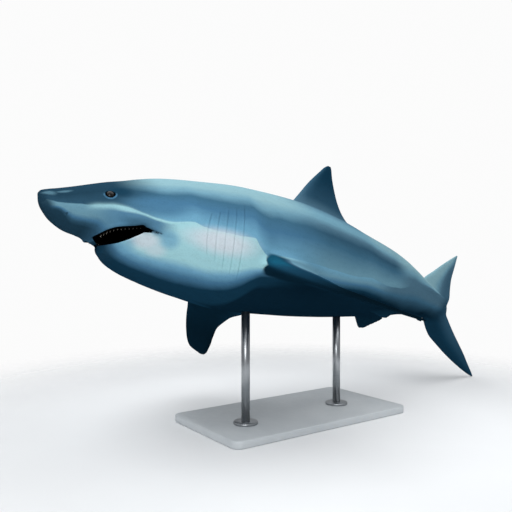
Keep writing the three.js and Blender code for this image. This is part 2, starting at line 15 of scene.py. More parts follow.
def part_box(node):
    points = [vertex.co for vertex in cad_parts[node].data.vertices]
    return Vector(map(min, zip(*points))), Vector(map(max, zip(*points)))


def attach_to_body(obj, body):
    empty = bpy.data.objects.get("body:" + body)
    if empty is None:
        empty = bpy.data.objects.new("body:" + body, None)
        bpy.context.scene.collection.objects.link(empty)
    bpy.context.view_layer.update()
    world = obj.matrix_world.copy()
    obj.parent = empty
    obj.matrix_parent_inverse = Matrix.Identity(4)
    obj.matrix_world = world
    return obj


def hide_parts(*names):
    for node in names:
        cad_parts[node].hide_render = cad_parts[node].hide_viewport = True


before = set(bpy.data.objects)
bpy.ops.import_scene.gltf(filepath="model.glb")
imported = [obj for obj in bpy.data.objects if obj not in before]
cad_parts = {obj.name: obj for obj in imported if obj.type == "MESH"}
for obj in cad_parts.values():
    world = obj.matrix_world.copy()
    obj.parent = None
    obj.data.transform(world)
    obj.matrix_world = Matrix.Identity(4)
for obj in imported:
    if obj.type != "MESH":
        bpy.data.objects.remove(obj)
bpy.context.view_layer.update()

# ---------------------------------------------------------------- driving dimensions, as in the solids

# Metres, from the snout to the tip of the tail's upper lobe.
TOTAL_LENGTH = 4.5
HEAD_UP = math.radians(9.6)
BANK = math.radians(12.5)
TAIL_TURN = math.radians(9.5)
TAIL_DROOP = math.radians(3.6)
TAIL_TWIST = math.radians(4.2)
# The stations over which the tail turns, droops and twists.
TURN_FROM, TURN_TO, TWIST_FROM = 0.25, 0.8, 0.45
# The station over the middle of the stand, and the height of the axis there, in metres.
HUNG_STATION = 0.4
AXIS_HEIGHT = 1.15
FLESH_END = 0.86

# Station, back line, half width, belly line.
BODY_OUTLINE = [
    (0, 0.0075, 0, 0.0075),
    (0.003, 0.0118, 0.0059, -0.0048),
    (0.01, 0.0148, 0.013, -0.0146),
    (0.02, 0.0179, 0.019, -0.0238),
    (0.04, 0.0247, 0.0299, -0.0325),
    (0.062, 0.0328, 0.0405, -0.0358),
    (0.08, 0.0396, 0.047, -0.05),
    (0.1, 0.0457, 0.0575, -0.0665),
    (0.12, 0.0526, 0.0645, -0.0745),
    (0.15, 0.0612, 0.0706, -0.0828),
    (0.2, 0.0699, 0.0803, -0.0927),
    (0.28, 0.0805, 0.0874, -0.1025),
    (0.38, 0.0842, 0.0855, -0.0981),
    (0.46, 0.0803, 0.0774, -0.0903),
    (0.55, 0.0712, 0.062, -0.0766),
    (0.64, 0.0657, 0.046, -0.0602),
    (0.68, 0.0603, 0.0398, -0.0507),
    (0.72, 0.0513, 0.0338, -0.0437),
    (0.77, 0.0345, 0.0282, -0.0326),
    (0.81, 0.024, 0.0235, -0.0258),
    (0.84, 0.0165, 0.014, -0.0185),
    (FLESH_END, 0.008, 0.005, -0.009),
]
# The lower jaw: station, belly line, half width as a share of the head's there.
JAW_OUTLINE = [
    (0.0785, -0.0495, 0.24),
    (0.079, -0.0522, 0.28),
    (0.081, -0.0552, 0.38),
    (0.085, -0.058, 0.54),
    (0.088, -0.0598, 0.68),
    (0.092, -0.0622, 0.81),
    (0.1, -0.0662, 0.94),
    (0.105, -0.0685, 0.97),
    (0.12, -0.0745, 0.99),
    (0.14, -0.0802, 1),
]
# The edges of the open mouth from the side: station, height.
UPPER_LIP = [
    (0.05, -0.05), (0.0636, -0.0396), (0.0706, -0.0362), (0.077, -0.0323), (0.0861, -0.0291),
    (0.103, -0.0275), (0.1126, -0.0256), (0.1176, -0.0285), (0.1294, -0.032), (0.1375, -0.0336),
]
LOWER_LIP = [
    (0.07, -0.0458), (0.0797, -0.0455), (0.0908, -0.0455), (0.0995, -0.043), (0.1087, -0.0381),
    (0.1178, -0.0334), (0.1294, -0.0328), (0.1375, -0.034),
]
GAPE_END = 0.1294
MOUTH_CORNER = (0.1365, -0.0335)
# The hollow of the mouth: station, half width, roof, floor.
MOUTH_POCKET = [
    (0.083, 0.001, -0.0405, -0.0425),
    (0.0845, 0.008, -0.0375, -0.045),
    (0.09, 0.021, -0.026, -0.0505),
    (0.1, 0.035, -0.016, -0.0555),
    (0.12, 0.046, -0.0115, -0.0595),
    (0.14, 0.048, -0.013, -0.058),
    (0.155, 0.036, -0.022, -0.048),
    (0.162, 0.012, -0.03, -0.039),
    (0.164, 0.001, -0.034, -0.036),
]
# In front the upper lip hangs down to the tip of the lower jaw. Top and bottom are the station and
# height of its rear face's ends.
FRONT_LIP = dict(start=0.055, top=(0.069, -0.035), bottom=(0.079, -0.0462), rounded=0.0015)
# The front lip's station, half width and underside.
FRONT_LIP_SIZE = [
    (0.055, 0.038, -0.0361),
    (0.0655, 0.021, -0.0389),
    (0.067, 0.0125, -0.0397),
    (0.0688, 0.009, -0.0405),
    (0.0715, 0.0068, -0.0418),
    (0.0755, 0.0062, -0.044),
    (0.079, 0.006, -0.0468),
]
# The fold behind the corner of the mouth, and the keels beside the tail: stations, soft ends, size.
CREASE = dict(start=(0.116, 0.12), end=(0.1345, 0.1375), soft=0.0012, depth=0.0014)
KEEL = dict(start=0.68, full=0.76, fade=0.82, end=0.862, height=0.007, spread=0.006)

# All in shares of the length, but for the eye's radius and how far it stands out, which are in metres.
EYE = dict(station=0.0747, angle=math.radians(69.1), radius=0.028, proud=0.01)
LIDS = dict(along=0.0058, above=0.0037, below=0.0052, deep=0.0045, rim=0.0009, spread=0.0016)
SOCKET_SOFT = 0.0008
LIPS = dict(start=(0.06, 0.075), end=(0.125, 0.14), height=0.0009, spread=0.0022)
NOSTRIL = dict(station=0.031, angle=math.radians(122), size=(0.0034, 0.0011, 0.0025))
# The slits: the first one's station, the step to the next, their ends in degrees round from the back.
GILLS = dict(
    count=5,
    start=0.2,
    pitch=0.0128,
    bow=0.006,
    top=78,
    bottom=122,
    longer=4,
    width=0.0012,
    depth=0.0014,
    flap=0.0005,
)

# The fins: distance from the axis or root, leading edge, trailing edge, thickness.
DORSAL = [
    (0.06, 0.386, 0.556, 0.02),
    (0.0815, 0.391, 0.547, 0.0165),
    (0.0899, 0.3989, 0.5285, 0.0125),
    (0.1092, 0.415, 0.511, 0.0105),
    (0.1362, 0.4372, 0.4998, 0.0085),
    (0.1647, 0.4644, 0.4935, 0.0055),
    (0.176, 0.4758, 0.4925, 0.004),
    (0.1812, 0.4835, 0.491, 0.0025),
]
SECOND_DORSAL = [
    (0.035, 0.712, 0.74, 0.005),
    (0.0525, 0.717, 0.738, 0.004),
    (0.0575, 0.7245, 0.7375, 0.003),
    (0.0625, 0.7315, 0.7395, 0.0018),
]
ANAL = [
    (-0.0505, 0.744, 0.757, 0.0025),
    (-0.047, 0.736, 0.7585, 0.0035),
    (-0.042, 0.728, 0.76, 0.0045),
    (-0.025, 0.72, 0.762, 0.0055),
]
CAUDAL = [
    (-0.1322, 0.946, 0.9555, 0.002),
    (-0.128, 0.925, 0.9535, 0.0035),
    (-0.1061, 0.853, 0.9375, 0.006),
    (-0.0874, 0.81, 0.9245, 0.0075),
    (-0.0712, 0.78, 0.91, 0.0085),
    (-0.0496, 0.769, 0.8905, 0.0095),
    (-0.025, 0.765, 0.8725, 0.0105),
    (-0.0084, 0.765, 0.8636, 0.011),
    (0.008, 0.765, 0.8769, 0.0105),
    (0.0254, 0.768, 0.8915, 0.0095),
    (0.0448, 0.786, 0.899, 0.0085),
    (0.0715, 0.831, 0.9115, 0.007),
    (0.1057, 0.89, 0.9355, 0.005),
    (0.125, 0.9252, 0.949, 0.0035),
    (0.1415, 0.956, 0.9605, 0.002),
]
PECTORAL = [
    (-0.04, 0.01, 0.088, 0.024),
    (-0.01, -0.001, 0.096, 0.0225),
    (0.0171, 0, 0.1138, 0.0175),
    (0.0433, 0.0115, 0.0966, 0.012),
    (0.0706, 0.0262, 0.0948, 0.0095),
    (0.1041, 0.0472, 0.1065, 0.0075),
    (0.1328, 0.0685, 0.1205, 0.0055),
    (0.1487, 0.085, 0.1268, 0.0045),
    (0.159, 0.105, 0.1305, 0.0035),
    (0.1655, 0.12, 0.13, 0.0025),
]
PELVIC = [
    (-0.02, -0.004, 0.07, 0.007),
    (0, 0, 0.084, 0.006),
    (0.004, 0.003, 0.077, 0.005),
    (0.012, 0.011, 0.056, 0.004),
    (0.018, 0.0175, 0.041, 0.003),
    (0.0205, 0.0225, 0.034, 0.002),
]
# Root of the leading edge, way of the chord, way outwards. Y is measured outwards on each side.
PECTORAL_ROOTS = {
    "left": ((0.2851, 0.0886, -0.0544), (0.995, 0.044, -0.093), (-0.079, 0.905, -0.419)),
    "right": ((0.277, 0.0886, -0.0625), (0.996, 0, -0.092), (-0.034, 0.929, -0.369)),
}
PELVIC_ROOTS = {
    "left": ((0.552, 0.022, -0.066), (0.99, 0, 0.14), (0.05, 0.62, -0.78)),
    "right": ((0.575, 0.022, -0.069), (0.99, 0, 0.14), (0.05, 0.5, -0.86)),
}
# Half the thickness of a fin's rim.
FIN_EDGE = 0.0016 / TOTAL_LENGTH
# Y runs to the animal's right.
SIDES = {"left": -1, "right": 1}

# How finely the skin is meshed, and how much finer the head is than the tail.
CELL = 0.0018
FINER = [(0, 2), (0.16, 2), (0.26, 1.7), (0.36, 1), (1, 1)]

# ---------------------------------------------------------------- curves and distances


def curve(rows, column=1):
    """A monotone cubic through the rows' first column and the given one, held level past its ends."""
    table = np.array(rows, float)
    xs, ys = table[:, 0], table[:, column]
    step = np.diff(xs)
    slope = np.diff(ys) / step
    tangent = np.concatenate([slope[:1], np.zeros(len(xs) - 2), slope[-1:]])
    for i in range(1, len(xs) - 1):
        if slope[i - 1] * slope[i] > 0:
            near, far = 2 * step[i] + step[i - 1], step[i] + 2 * step[i - 1]
            tangent[i] = (near + far) / (near / slope[i - 1] + far / slope[i])

    def at(x):
        x = np.clip(x, xs[0], xs[-1])
        i = np.clip(np.searchsorted(xs, x, side="right") - 1, 0, len(xs) - 2)
        t = (x - xs[i]) / step[i]
        bend = t * (1 - t) ** 2 * tangent[i] - t * t * (1 - t) * tangent[i + 1]
        return ys[i] + (ys[i + 1] - ys[i]) * t * t * (3 - 2 * t) + bend * step[i]

    return at


def smoothstep(x, low, high):
    t = np.clip((x - low) / (high - low), 0, 1)
    return t * t * (3 - 2 * t)


def bell(x, middle, spread):
    return np.exp(-(((x - middle) / spread) ** 2))


def fades(s, ends):
    """0 outside the stations start and end, where something fades in and out, and 1 between them."""
    return smoothstep(s, *ends["start"]) * (1 - smoothstep(s, *ends["end"]))


def smooth_min(a, b, reach):
    h = np.maximum(reach - np.abs(a - b), 0) / reach
    return np.minimum(a, b) - h * h * reach / 4


def smooth_max(a, b, reach):
    return -smooth_min(-a, -b, reach)


def unit(v):
    v = np.array(v, float)
    return v / np.linalg.norm(v)


# What a lookup says far from its outline, its cell, and how far it reaches past the outline.
FAR = 0.2
GRID_STEP = 0.001
GRID_MARGIN = 0.03


def flat_distance(outline):
    """The signed distance to a closed outline in its own plane, negative inside, from a lookup."""
    a = np.array(outline, float)
    b = np.roll(a, -1, 0)
    low = a.min(0) - GRID_MARGIN
    count = np.ceil((a.max(0) + GRID_MARGIN - low) / GRID_STEP).astype(int) + 1
    u, v = np.meshgrid(*(low[k] + GRID_STEP * np.arange(count[k]) for k in (0, 1)), indexing="ij")
    nearest = np.full(u.shape, np.inf)
    inside = np.zeros(u.shape, bool)
    for (u0, v0), (u1, v1) in zip(a, b):
        along, up = u1 - u0, v1 - v0
        t = np.clip(((u - u0) * along + (v - v0) * up) / max(along**2 + up**2, 1e-18), 0, 1)
        nearest = np.minimum(nearest, np.hypot(u - u0 - t * along, v - v0 - t * up))
        if v0 != v1:
            crosses = (v0 > v) != (v1 > v)
            inside ^= crosses & (u < u0 + (v - v0) * along / up)
    table = np.where(inside, -nearest, nearest)

    def at(x, y):
        fx = (x - low[0]) / GRID_STEP
        fy = (y - low[1]) / GRID_STEP
        i = np.clip(fx.astype(int), 0, count[0] - 2)
        j = np.clip(fy.astype(int), 0, count[1] - 2)
        tx, ty = fx - i, fy - j
        near = (table[i, j] * (1 - ty) + table[i, j + 1] * ty) * (1 - tx)
        far = (table[i + 1, j] * (1 - ty) + table[i + 1, j + 1] * ty) * tx
        outside = (fx < 0) | (fy < 0) | (fx > count[0] - 1) | (fy > count[1] - 1)
        return np.where(outside, FAR, near + far)

    return at


# ---------------------------------------------------------------- the swimming pose


def turn(s):
    return TAIL_TURN * smoothstep(s, TURN_FROM, TURN_TO)


def droop(s):
    return TAIL_DROOP * smoothstep(s, TURN_FROM, TURN_TO)


def twist(s):
    return TAIL_TWIST * smoothstep(s, TWIST_FROM, TURN_TO)


def heading(s):
    level = np.cos(droop(s))
    return np.stack([np.cos(turn(s)) * level, np.sin(turn(s)) * level, -np.sin(droop(s))], -1)


AXIS_STEP = 0.0025
AXIS_STATIONS = np.arange(0, 1.05, AXIS_STEP)
AXIS = np.cumsum(heading(AXIS_STATIONS - AXIS_STEP / 2) * AXIS_STEP, 0)
AXIS -= AXIS[0]


def swim(points):
    """Points of the straight animal, in its place in the pose, in metres."""
    s, y, z = np.asarray(points, float).T
    axis = np.stack([np.interp(s, AXIS_STATIONS, AXIS[:, k]) for k in range(3)], -1)
    side = np.stack([-np.sin(turn(s)), np.cos(turn(s)), np.zeros_like(s)], -1)
    up = np.cross(heading(s), side)
    y, z = y * np.cos(twist(s)) + z * np.sin(twist(s)), z * np.cos(twist(s)) - y * np.sin(twist(s))
    bent = axis + side * y[:, None] + up * z[:, None]
    bent[:, 0] -= HUNG_STATION
    place = Matrix.Translation((0, 0, AXIS_HEIGHT)) @ Matrix.Rotation(HEAD_UP, 4, "Y")
    place = np.array(place @ Matrix.Rotation(-BANK, 4, "X") @ Matrix.Scale(TOTAL_LENGTH, 4))
    return bent @ place[:3, :3].T + place[:3, 3]


# ---------------------------------------------------------------- the shape of the straight animal

BACK, WIDTH, BELLY = (curve(BODY_OUTLINE, k) for k in (1, 2, 3))
JAW_BELLY, JAW_SHARE = curve(JAW_OUTLINE, 1), curve(JAW_OUTLINE, 2)
UPPER, LOWER = curve(UPPER_LIP), curve(LOWER_LIP)
POCKET_WIDTH, POCKET_ROOF, POCKET_FLOOR = (curve(MOUTH_POCKET, k) for k in (1, 2, 3))
LIP_WIDTH, LIP_UNDER = curve(FRONT_LIP_SIZE, 1), curve(FRONT_LIP_SIZE, 2)
JAW_TIP = JAW_OUTLINE[0][0]
JAW_SOFT, JAW_ENDS = 0.002, (0.125, 0.15)
LEAST_WIDTH = 1e-4


def keel(s):
    """How far the keels beside the tail widen the body."""
    rises = smoothstep(s, KEEL["start"], KEEL["full"])
    return KEEL["height"] * rises * (1 - smoothstep(s, KEEL["fade"], KEEL["end"]))


def in_jaw(s, z):
    """0 in the head and 1 in the lower jaw, passing over between the lips and behind the mouth."""
    middle = (UPPER(s) + LOWER(s)) / 2
    under = 1 - smoothstep(z, middle - JAW_SOFT, middle + JAW_SOFT)
    return under * (1 - smoothstep(s, *JAW_ENDS))


def section(s, jaw=0):
    """Half width, half height and middle of the body's section."""
    width = WIDTH(s) * (1 + (JAW_SHARE(s) - 1) * jaw)
    belly = BELLY(s) + (JAW_BELLY(s) - BELLY(s)) * jaw
    half, middle = (BACK(s) - belly) / 2, (BACK(s) + belly) / 2
    return np.maximum(width, LEAST_WIDTH), np.maximum(half, LEAST_WIDTH), middle


def surface(s, angle, jaw=0):
    """The body's surface: angle 0 is the back, a quarter turn the left side."""
    width, half, middle = section(s, jaw)
    return np.stack(np.broadcast_arrays(s, -width * np.sin(angle), middle + half * np.cos(angle)), -1)


def tube_distance(y, rise, width, half):
    """About how far outside an oval a point of its plane is."""
    q = np.maximum(np.hypot(y / width, rise / half), 1e-3)
    slope = np.hypot(y / width**2, rise / half**2) / q
    return (q - 1) / slope


def body_distance(p, jaw=True):
    """About how far outside the body, without fins, each point is."""
    s, y, z = p.T
    width, half, middle = section(s, in_jaw(s, z) if jaw else 0)
    rise = z - middle
    around = tube_distance(y, rise, width + keel(s) * bell(rise, 0, KEEL["spread"]), half)
    ahead = np.maximum(np.maximum(-s, s - FLESH_END), 0)
    return np.where(ahead > 0, np.hypot(ahead, np.maximum(around, 0)), around)


class Fin:
    """A blade with its own outline, on a plane through the straight animal."""

    def __init__(self, rows, at, chord, out, fillet):
        self.rows, self.fillet = rows, fillet
        self.lead, self.trail, self.thickness = (curve(rows, k) for k in (1, 2, 3))
        self.at, self.chord, self.out = np.array(at, float), unit(chord), unit(out)
        self.across = np.cross(self.chord, self.out)
        spans = np.linspace(rows[0][0], rows[-1][0], 60)
        there = np.stack([self.lead(spans), spans], -1)
        back = np.stack([self.trail(spans), spans], -1)[::-1]
        self.outline = flat_distance(np.concatenate([there, back]))

    def chord_share(self, c, o):
        """0 at the leading edge and 1 at the trailing edge."""
        return (c - self.lead(o)) / (self.trail(o) - self.lead(o))

    def half(self, c, o):
        """Half the blade's thickness."""
        t = np.clip(self.chord_share(c, o), 0, 1)
        # The thickness curve of a common wing section.
        shape = 2.969 * np.sqrt(t) - 1.26 * t - 3.516 * t**2 + 2.843 * t**3 - 1.036 * t**4
        return (self.thickness(o) / 2 - FIN_EDGE) * np.maximum(shape, 0) + FIN_EDGE

    def local(self, p):
        """Along the chord, outwards and across the blade."""
        q = p - self.at
        return q @ self.chord, q @ self.out, q @ self.across

    def distance(self, p):
        """About how far outside the blade each point is."""
        c, o, n = self.local(p)
        edge = self.outline(c, o)
        found = np.full(len(p), FAR)
        near = (edge < FAR) & (np.abs(n) < GRID_MARGIN)
        c, o, n, edge = c[near], o[near], n[near], edge[near]
        half = self.half(c, o)
        found[near] = np.hypot(np.maximum(edge + half, 0), n) - half
        return found


def upright(rows, fillet):
    return Fin(rows, (0, 0, 0), (1, 0, 0), (0, 0, 1), fillet)


def paired(rows, root, side, fillet):
    at, chord, out = (np.array(v, float) * (1, side, 1) for v in root)
    return Fin(rows, at, chord, out, fillet)


FINS = {
    "dorsal": upright(DORSAL, 0.012),
    "second_dorsal": upright(SECOND_DORSAL, 0.005),
    "anal": upright(ANAL, 0.005),
    "caudal": upright(CAUDAL, 0.014),
}
for name, side in SIDES.items():
    FINS["pectoral_" + name] = paired(PECTORAL, PECTORAL_ROOTS[name], side, 0.016)
    FINS["pelvic_" + name] = paired(PELVIC, PELVIC_ROOTS[name], side, 0.006)

# How far the outlines that cut the mouth reach below, above and beside it.
CUT_DEPTH, CUT_HEIGHT, CUT_SIDE = -0.2, 0.1, 0.15


def gape_outline():
    """The open mouth seen from the side, with the space in front of the lower jaw."""
    over = np.linspace(UPPER_LIP[0][0], GAPE_END, 60)
    under = np.linspace(GAPE_END, JAW_TIP, 50)
    rows = list(zip(over, UPPER(over))) + [MOUTH_CORNER] + list(zip(under, LOWER(under)))
    return rows + [(JAW_TIP, CUT_DEPTH), (over[0], CUT_DEPTH)]


gape_distance = flat_distance(gape_outline())


def pocket_distance(p):
    """About how far outside the hollow of the mouth each point is."""
    s, y, z = p.T
    roof, floor = POCKET_ROOF(s), POCKET_FLOOR(s)
    around = tube_distance(y, z - (roof + floor) / 2, POCKET_WIDTH(s), (roof - floor) / 2)
    ahead = np.maximum(MOUTH_POCKET[0][0] - s, s - MOUTH_POCKET[-1][0])
    return np.where(ahead > 0, np.hypot(ahead, np.maximum(around, 0)), around)


def socket_frame(side):
    """Where an eye's opening is on the skin, and its rows: along the head, up and outwards."""
    angle = -side * EYE["angle"]
    at = surface(EYE["station"], angle)
    beside = surface(EYE["station"], angle + 0.01) - at
    along = surface(EYE["station"] + 0.001, angle) - at
    out = unit(np.cross(along, beside))
    out *= np.sign(out @ (0, side, 0.3))
    up = unit(np.cross(out, (-side, 0, 0)))
    return at, np.array([np.cross(up, out), up, out])


def lid_radii(q):
    """The half axes of an eye's opening, which hangs lower than it rises."""
    up = np.where(q[:, 1] > 0, LIDS["above"], LIDS["below"])
    return np.stack([np.full_like(up, LIDS["along"]), up, np.full_like(up, LIDS["deep"])], -1)


def oval_distance(q, radii):
    """About how far outside an oval, with these half axes, points seen from its centre are."""
    size = np.maximum(np.linalg.norm(q / radii, axis=1), 1e-3)
    return (size - 1) * size / np.linalg.norm(q / np.square(radii), axis=1)


def behind_lip(s, z):
    """How far behind the rear face of the front lip a place is."""
    top = FRONT_LIP["top"]
    fall = unit(np.subtract(FRONT_LIP["bottom"], top))
    return (z - top[1]) * fall[0] - (s - top[0]) * fall[1]


def front_lip(p):
    """The upper lip in front, where the mouth is closed by it down to the lower jaw."""
    s, y, z = p.T
    strip = smooth_max(np.abs(y) - LIP_WIDTH(s), behind_lip(s, z), FRONT_LIP["rounded"])
    strip = smooth_max(strip, LIP_UNDER(s) - z, FRONT_LIP["rounded"])
    strip = np.maximum(strip, FRONT_LIP["start"] - s)
    return smooth_max(body_distance(p, False), strip, 0.002)


def crease(s, z):
    """The fold of skin that runs on from the corner of the mouth."""
    slit = np.maximum(z - UPPER(s), LOWER(s) - z)
    return fades(s, CREASE) * (1 - smoothstep(slit, -0.0003, CREASE["soft"]))


def gill_depth(s, y, z):
    """How far the gill slits sink the skin."""
    angle = np.degrees(np.arctan2(np.abs(y), z - section(s)[2]))
    depth = np.zeros_like(s)
    for k in range(GILLS["count"]):
        top, bottom = GILLS["top"] - k * GILLS["longer"], GILLS["bottom"] + k * GILLS["longer"]
        share = np.clip((angle - top) / (bottom - top), 0, 1)
        ends = smoothstep(share, 0, 0.15) * (1 - smoothstep(share, 0.85, 1))
        behind = s - GILLS["start"] - k * GILLS["pitch"] + GILLS["bow"] * np.sin(share * math.pi)
        slit = bell(behind, 0, GILLS["width"]) * GILLS["depth"]
        flap = bell(behind, -1.8 * GILLS["width"], 1.6 * GILLS["width"]) * GILLS["flap"]
        depth += (slit - flap) * ends
    return depth


def lip_swell(s, gape):
    """How far the lips stand out along the edge of the mouth."""
    return LIPS["height"] * bell(gape, LIPS["spread"], LIPS["spread"]) * fades(s, LIPS)


def mouth(p, d):
    """The distance d to the head, with its gills, lips and open mouth."""
    s, y, z = p.T
    gape = gape_distance(s, z)
    d = d - lip_swell(s, gape) + gill_depth(s, y, z)
    d = smooth_max(d, -gape, 0.0016)
    d = smooth_max(d, -pocket_distance(p), 0.002)
    d = smooth_min(d, front_lip(p) + 0.0002, 0.0015)
    return d + crease(s, z) * CREASE["depth"]


def eye_and_nostril(p, d, side):
    """The distance d to the head, with one side's lids, eye socket and nostril."""
    at, rows = socket_frame(side)
    q = (p - at) @ rows.T
    socket = oval_distance(q, lid_radii(q))
    lids = LIDS["rim"] * bell(socket, LIDS["spread"], LIDS["spread"])
    d = smooth_max(d - lids, -socket, SOCKET_SOFT)
    q = (p - surface(NOSTRIL["station"], -side * NOSTRIL["angle"])) @ rows.T
    return smooth_max(d, -oval_distance(q, NOSTRIL["size"]), SOCKET_SOFT)


HEAD_END = 0.28


def field(p):
    """About how far outside the animal's skin each point is, in shares of its length."""
    d = body_distance(p)
    for fin in FINS.values():
        d = smooth_min(d, fin.distance(p), fin.fillet)
    in_head = p[:, 0] < HEAD_END
    head = p[in_head]
    found = mouth(head, d[in_head])
    for side in SIDES.values():
        found = eye_and_nostril(head, found, side)
    d[in_head] = found
    return d


# ---------------------------------------------------------------- meshing


def mesh_object(name, points, faces):
    mesh = bpy.data.meshes.new(name)
    mesh.from_pydata([tuple(p) for p in points], [], [tuple(f) for f in faces])
    obj = bpy.data.objects.new(name, mesh)
    bpy.context.scene.collection.objects.link(obj)
    return obj


def tidy_faces(obj):
    """Turns every face outwards and splits the many-sided ones."""
    work = bmesh.new()
    work.from_mesh(obj.data)
    bmesh.ops.recalc_face_normals(work, faces=work.faces)
    bmesh.ops.triangulate(work, faces=[f for f in work.faces if len(f.verts) > 4])
    work.to_mesh(obj.data)
    work.free()
    return obj


def loft(name, rings):
    """The closed skin over rings with equally many points."""
    rings = np.asarray(rings)
    rows, count = rings.shape[:2]
    i, j = np.meshgrid(np.arange(rows - 1), np.arange(count), indexing="ij")
    a = (i * count + j).ravel()
    b = (i * count + (j + 1) % count).ravel()
    faces = np.stack([a, b, b + count, a + count], -1).tolist()
    faces.append(list(range(count))[::-1])
    faces.append(list(range((rows - 1) * count, rows * count)))
    return tidy_faces(mesh_object(name, rings.reshape(-1, 3), faces))


def prism(name, outline):
    """A flat outline of station and height, run across the body."""
    return loft(name, [[(s, y, z) for s, z in outline] for y in (-CUT_SIDE, CUT_SIDE)])


def settle(obj):
    """Applies the modifiers."""
    graph = bpy.context.evaluated_depsgraph_get()
    mesh = bpy.data.meshes.new_from_object(obj.evaluated_get(graph))
    obj.modifiers.clear()
    old, obj.data = obj.data, mesh
    bpy.data.meshes.remove(old)


def cut(obj, tool):
    """Takes the tool's shape out of a mesh, and removes the tool."""
    modifier = obj.modifiers.new("cut", "BOOLEAN")
    modifier.object, modifier.operation, modifier.solver = tool, "DIFFERENCE", "EXACT"
    settle(obj)
    bpy.data.objects.remove(tool)


BODY_SPOKES = 72


def full_turn(spokes):
    """The angles of a ring's points."""
    return np.linspace(0, 2 * np.pi, spokes, endpoint=False)


def body_cage(name, stations, jaw):
    return loft(name, [surface(s, full_turn(BODY_SPOKES), jaw) for s in stations])


def fin_cage(name, fin, least):
    """A fin thick enough for the voxels, and a little wider, so that its rim gets cells of its own."""
    chords = np.array([0, 0.02, 0.06, 0.13, 0.25, 0.4, 0.6, 0.8, 1])
    rings = []
    for span in np.linspace(fin.rows[0][0], fin.rows[-1][0], 40):
        lead, trail = fin.lead(span), fin.trail(span)
        c = lead + chords * (trail - lead)
        o = np.full_like(c, span)
        half = np.maximum(fin.half(c, o), least)
        edge = fin.outline(c, o)
        tiny = 2 * GRID_STEP
        slope = np.stack([fin.outline(c + tiny, o) - edge, fin.outline(c, o + tiny) - edge], -1) / tiny
        grown = np.where(edge > -0.0005, least * 0.6, 0)[:, None] * slope
        middle = fin.at + (c + grown[:, 0])[:, None] * fin.chord + (o + grown[:, 1])[:, None] * fin.out
        upper = middle + half[:, None] * fin.across
        lower = middle - half[:, None] * fin.across
        rings.append(np.concatenate([upper, lower[::-1]]))
    return loft(name, rings)


def vertices(mesh):
    co = np.empty(len(mesh.vertices) * 3, np.float32)
    mesh.vertices.foreach_get("co", co)
    return co.reshape(-1, 3).astype(float)


def move_vertices(mesh, points):
    mesh.vertices.foreach_set("co", np.asarray(points, np.float32).ravel())
    mesh.update()


FINENESS = curve(FINER)
STATIONS = np.linspace(0, 1.05, 2000)
MIDWAY = (FINENESS(STATIONS[1:]) + FINENESS(STATIONS[:-1])) / 2
STRETCHED = np.concatenate([[0], np.cumsum(MIDWAY)]) * STATIONS[1]


def stretch(p):
    """Enlarges the head, so that cells of one size are finer there."""
    fine = FINENESS(p[:, 0])
    return np.stack([np.interp(p[:, 0], STATIONS, STRETCHED), p[:, 1] * fine, p[:, 2] * fine], -1)


def unstretch(p):
    """Takes points of the enlarged head back to their places."""
    s = np.interp(p[:, 0], STRETCHED, STATIONS)
    fine = FINENESS(s)
    return np.stack([s, p[:, 1] / fine, p[:, 2] / fine], -1)


def onto_skin(p, rounds=7, longest=0.004):
    """Moves points along the field's slope until they lie on the skin."""
    tiny = 1e-5
    for _ in range(rounds):
        d = field(p)
        slope = np.stack([field(p + tiny * axis) - d for axis in np.eye(3)], -1) / tiny
        size = np.maximum((slope**2).sum(1), 0.05)
        step = slope * (d / size)[:, None]
        length = np.linalg.norm(step, axis=1)
        p = p - step * np.minimum(1, longest / np.maximum(length, 1e-9))[:, None]
    return p


# Where the cuts beside the front lip reach the sides of the head.
GAP_START = 0.052


def upper_gap(start):
    """The outline of the space under the upper jaw from a station on, as stations and heights."""
    s = np.linspace(start, GAPE_END, 60)
    ends = [MOUTH_CORNER, (MOUTH_CORNER[0], CUT_DEPTH), (s[0], CUT_DEPTH)]
    return list(zip(s, UPPER(s))) + ends


def lower_gap():
    """The outline of the space over the lower jaw."""
    s = np.linspace(GAPE_END, JAW_TIP, 50)
    top = [(JAW_TIP, CUT_HEIGHT), (MOUTH_CORNER[0], CUT_HEIGHT)]
    return [MOUTH_CORNER] + list(zip(s, LOWER(s))) + top


def head_cage():
    """The body with the space under its upper jaw cut away, but for the lip in front."""
    stations = np.concatenate([np.linspace(0.0006, 0.1, 60), np.linspace(0.103, FLESH_END, 160)])
    head = body_cage("skin", stations, 0)
    top, bottom = FRONT_LIP["top"], FRONT_LIP["bottom"]
    gap = [(s, z) for s, z in upper_gap(UPPER_LIP[0][0]) if s > top[0]]
    face = [(bottom[0], CUT_DEPTH), bottom, (top[0], UPPER(top[0]))]
    cut(head, prism("behind", gap + face))
    edge = [(start, width) for start, width, _ in FRONT_LIP_SIZE[::-1]] + [(GAP_START, CUT_SIDE)]
    for side in (-1, 1):
        rings = [[(s, side * y, z) for s, z in upper_gap(start)] for start, y in edge]
        cut(head, loft("beside", rings))
    return head


def jaw_cage():
    jaw = body_cage("jaw", np.linspace(JAW_TIP, MOUTH_CORNER[0] + 0.015, 50), 1)
    cut(jaw, prism("over", lower_gap()))
    return jaw


def pocket_cage():
    turns = full_turn(32)
    rings = []
    for s, width, roof, floor in MOUTH_POCKET:
        high = (roof + floor) / 2 + (roof - floor) / 2 * np.cos(turns)
        rings.append(np.stack([np.full_like(turns, s), width * np.sin(turns), high], -1))
    return loft("pocket", rings)


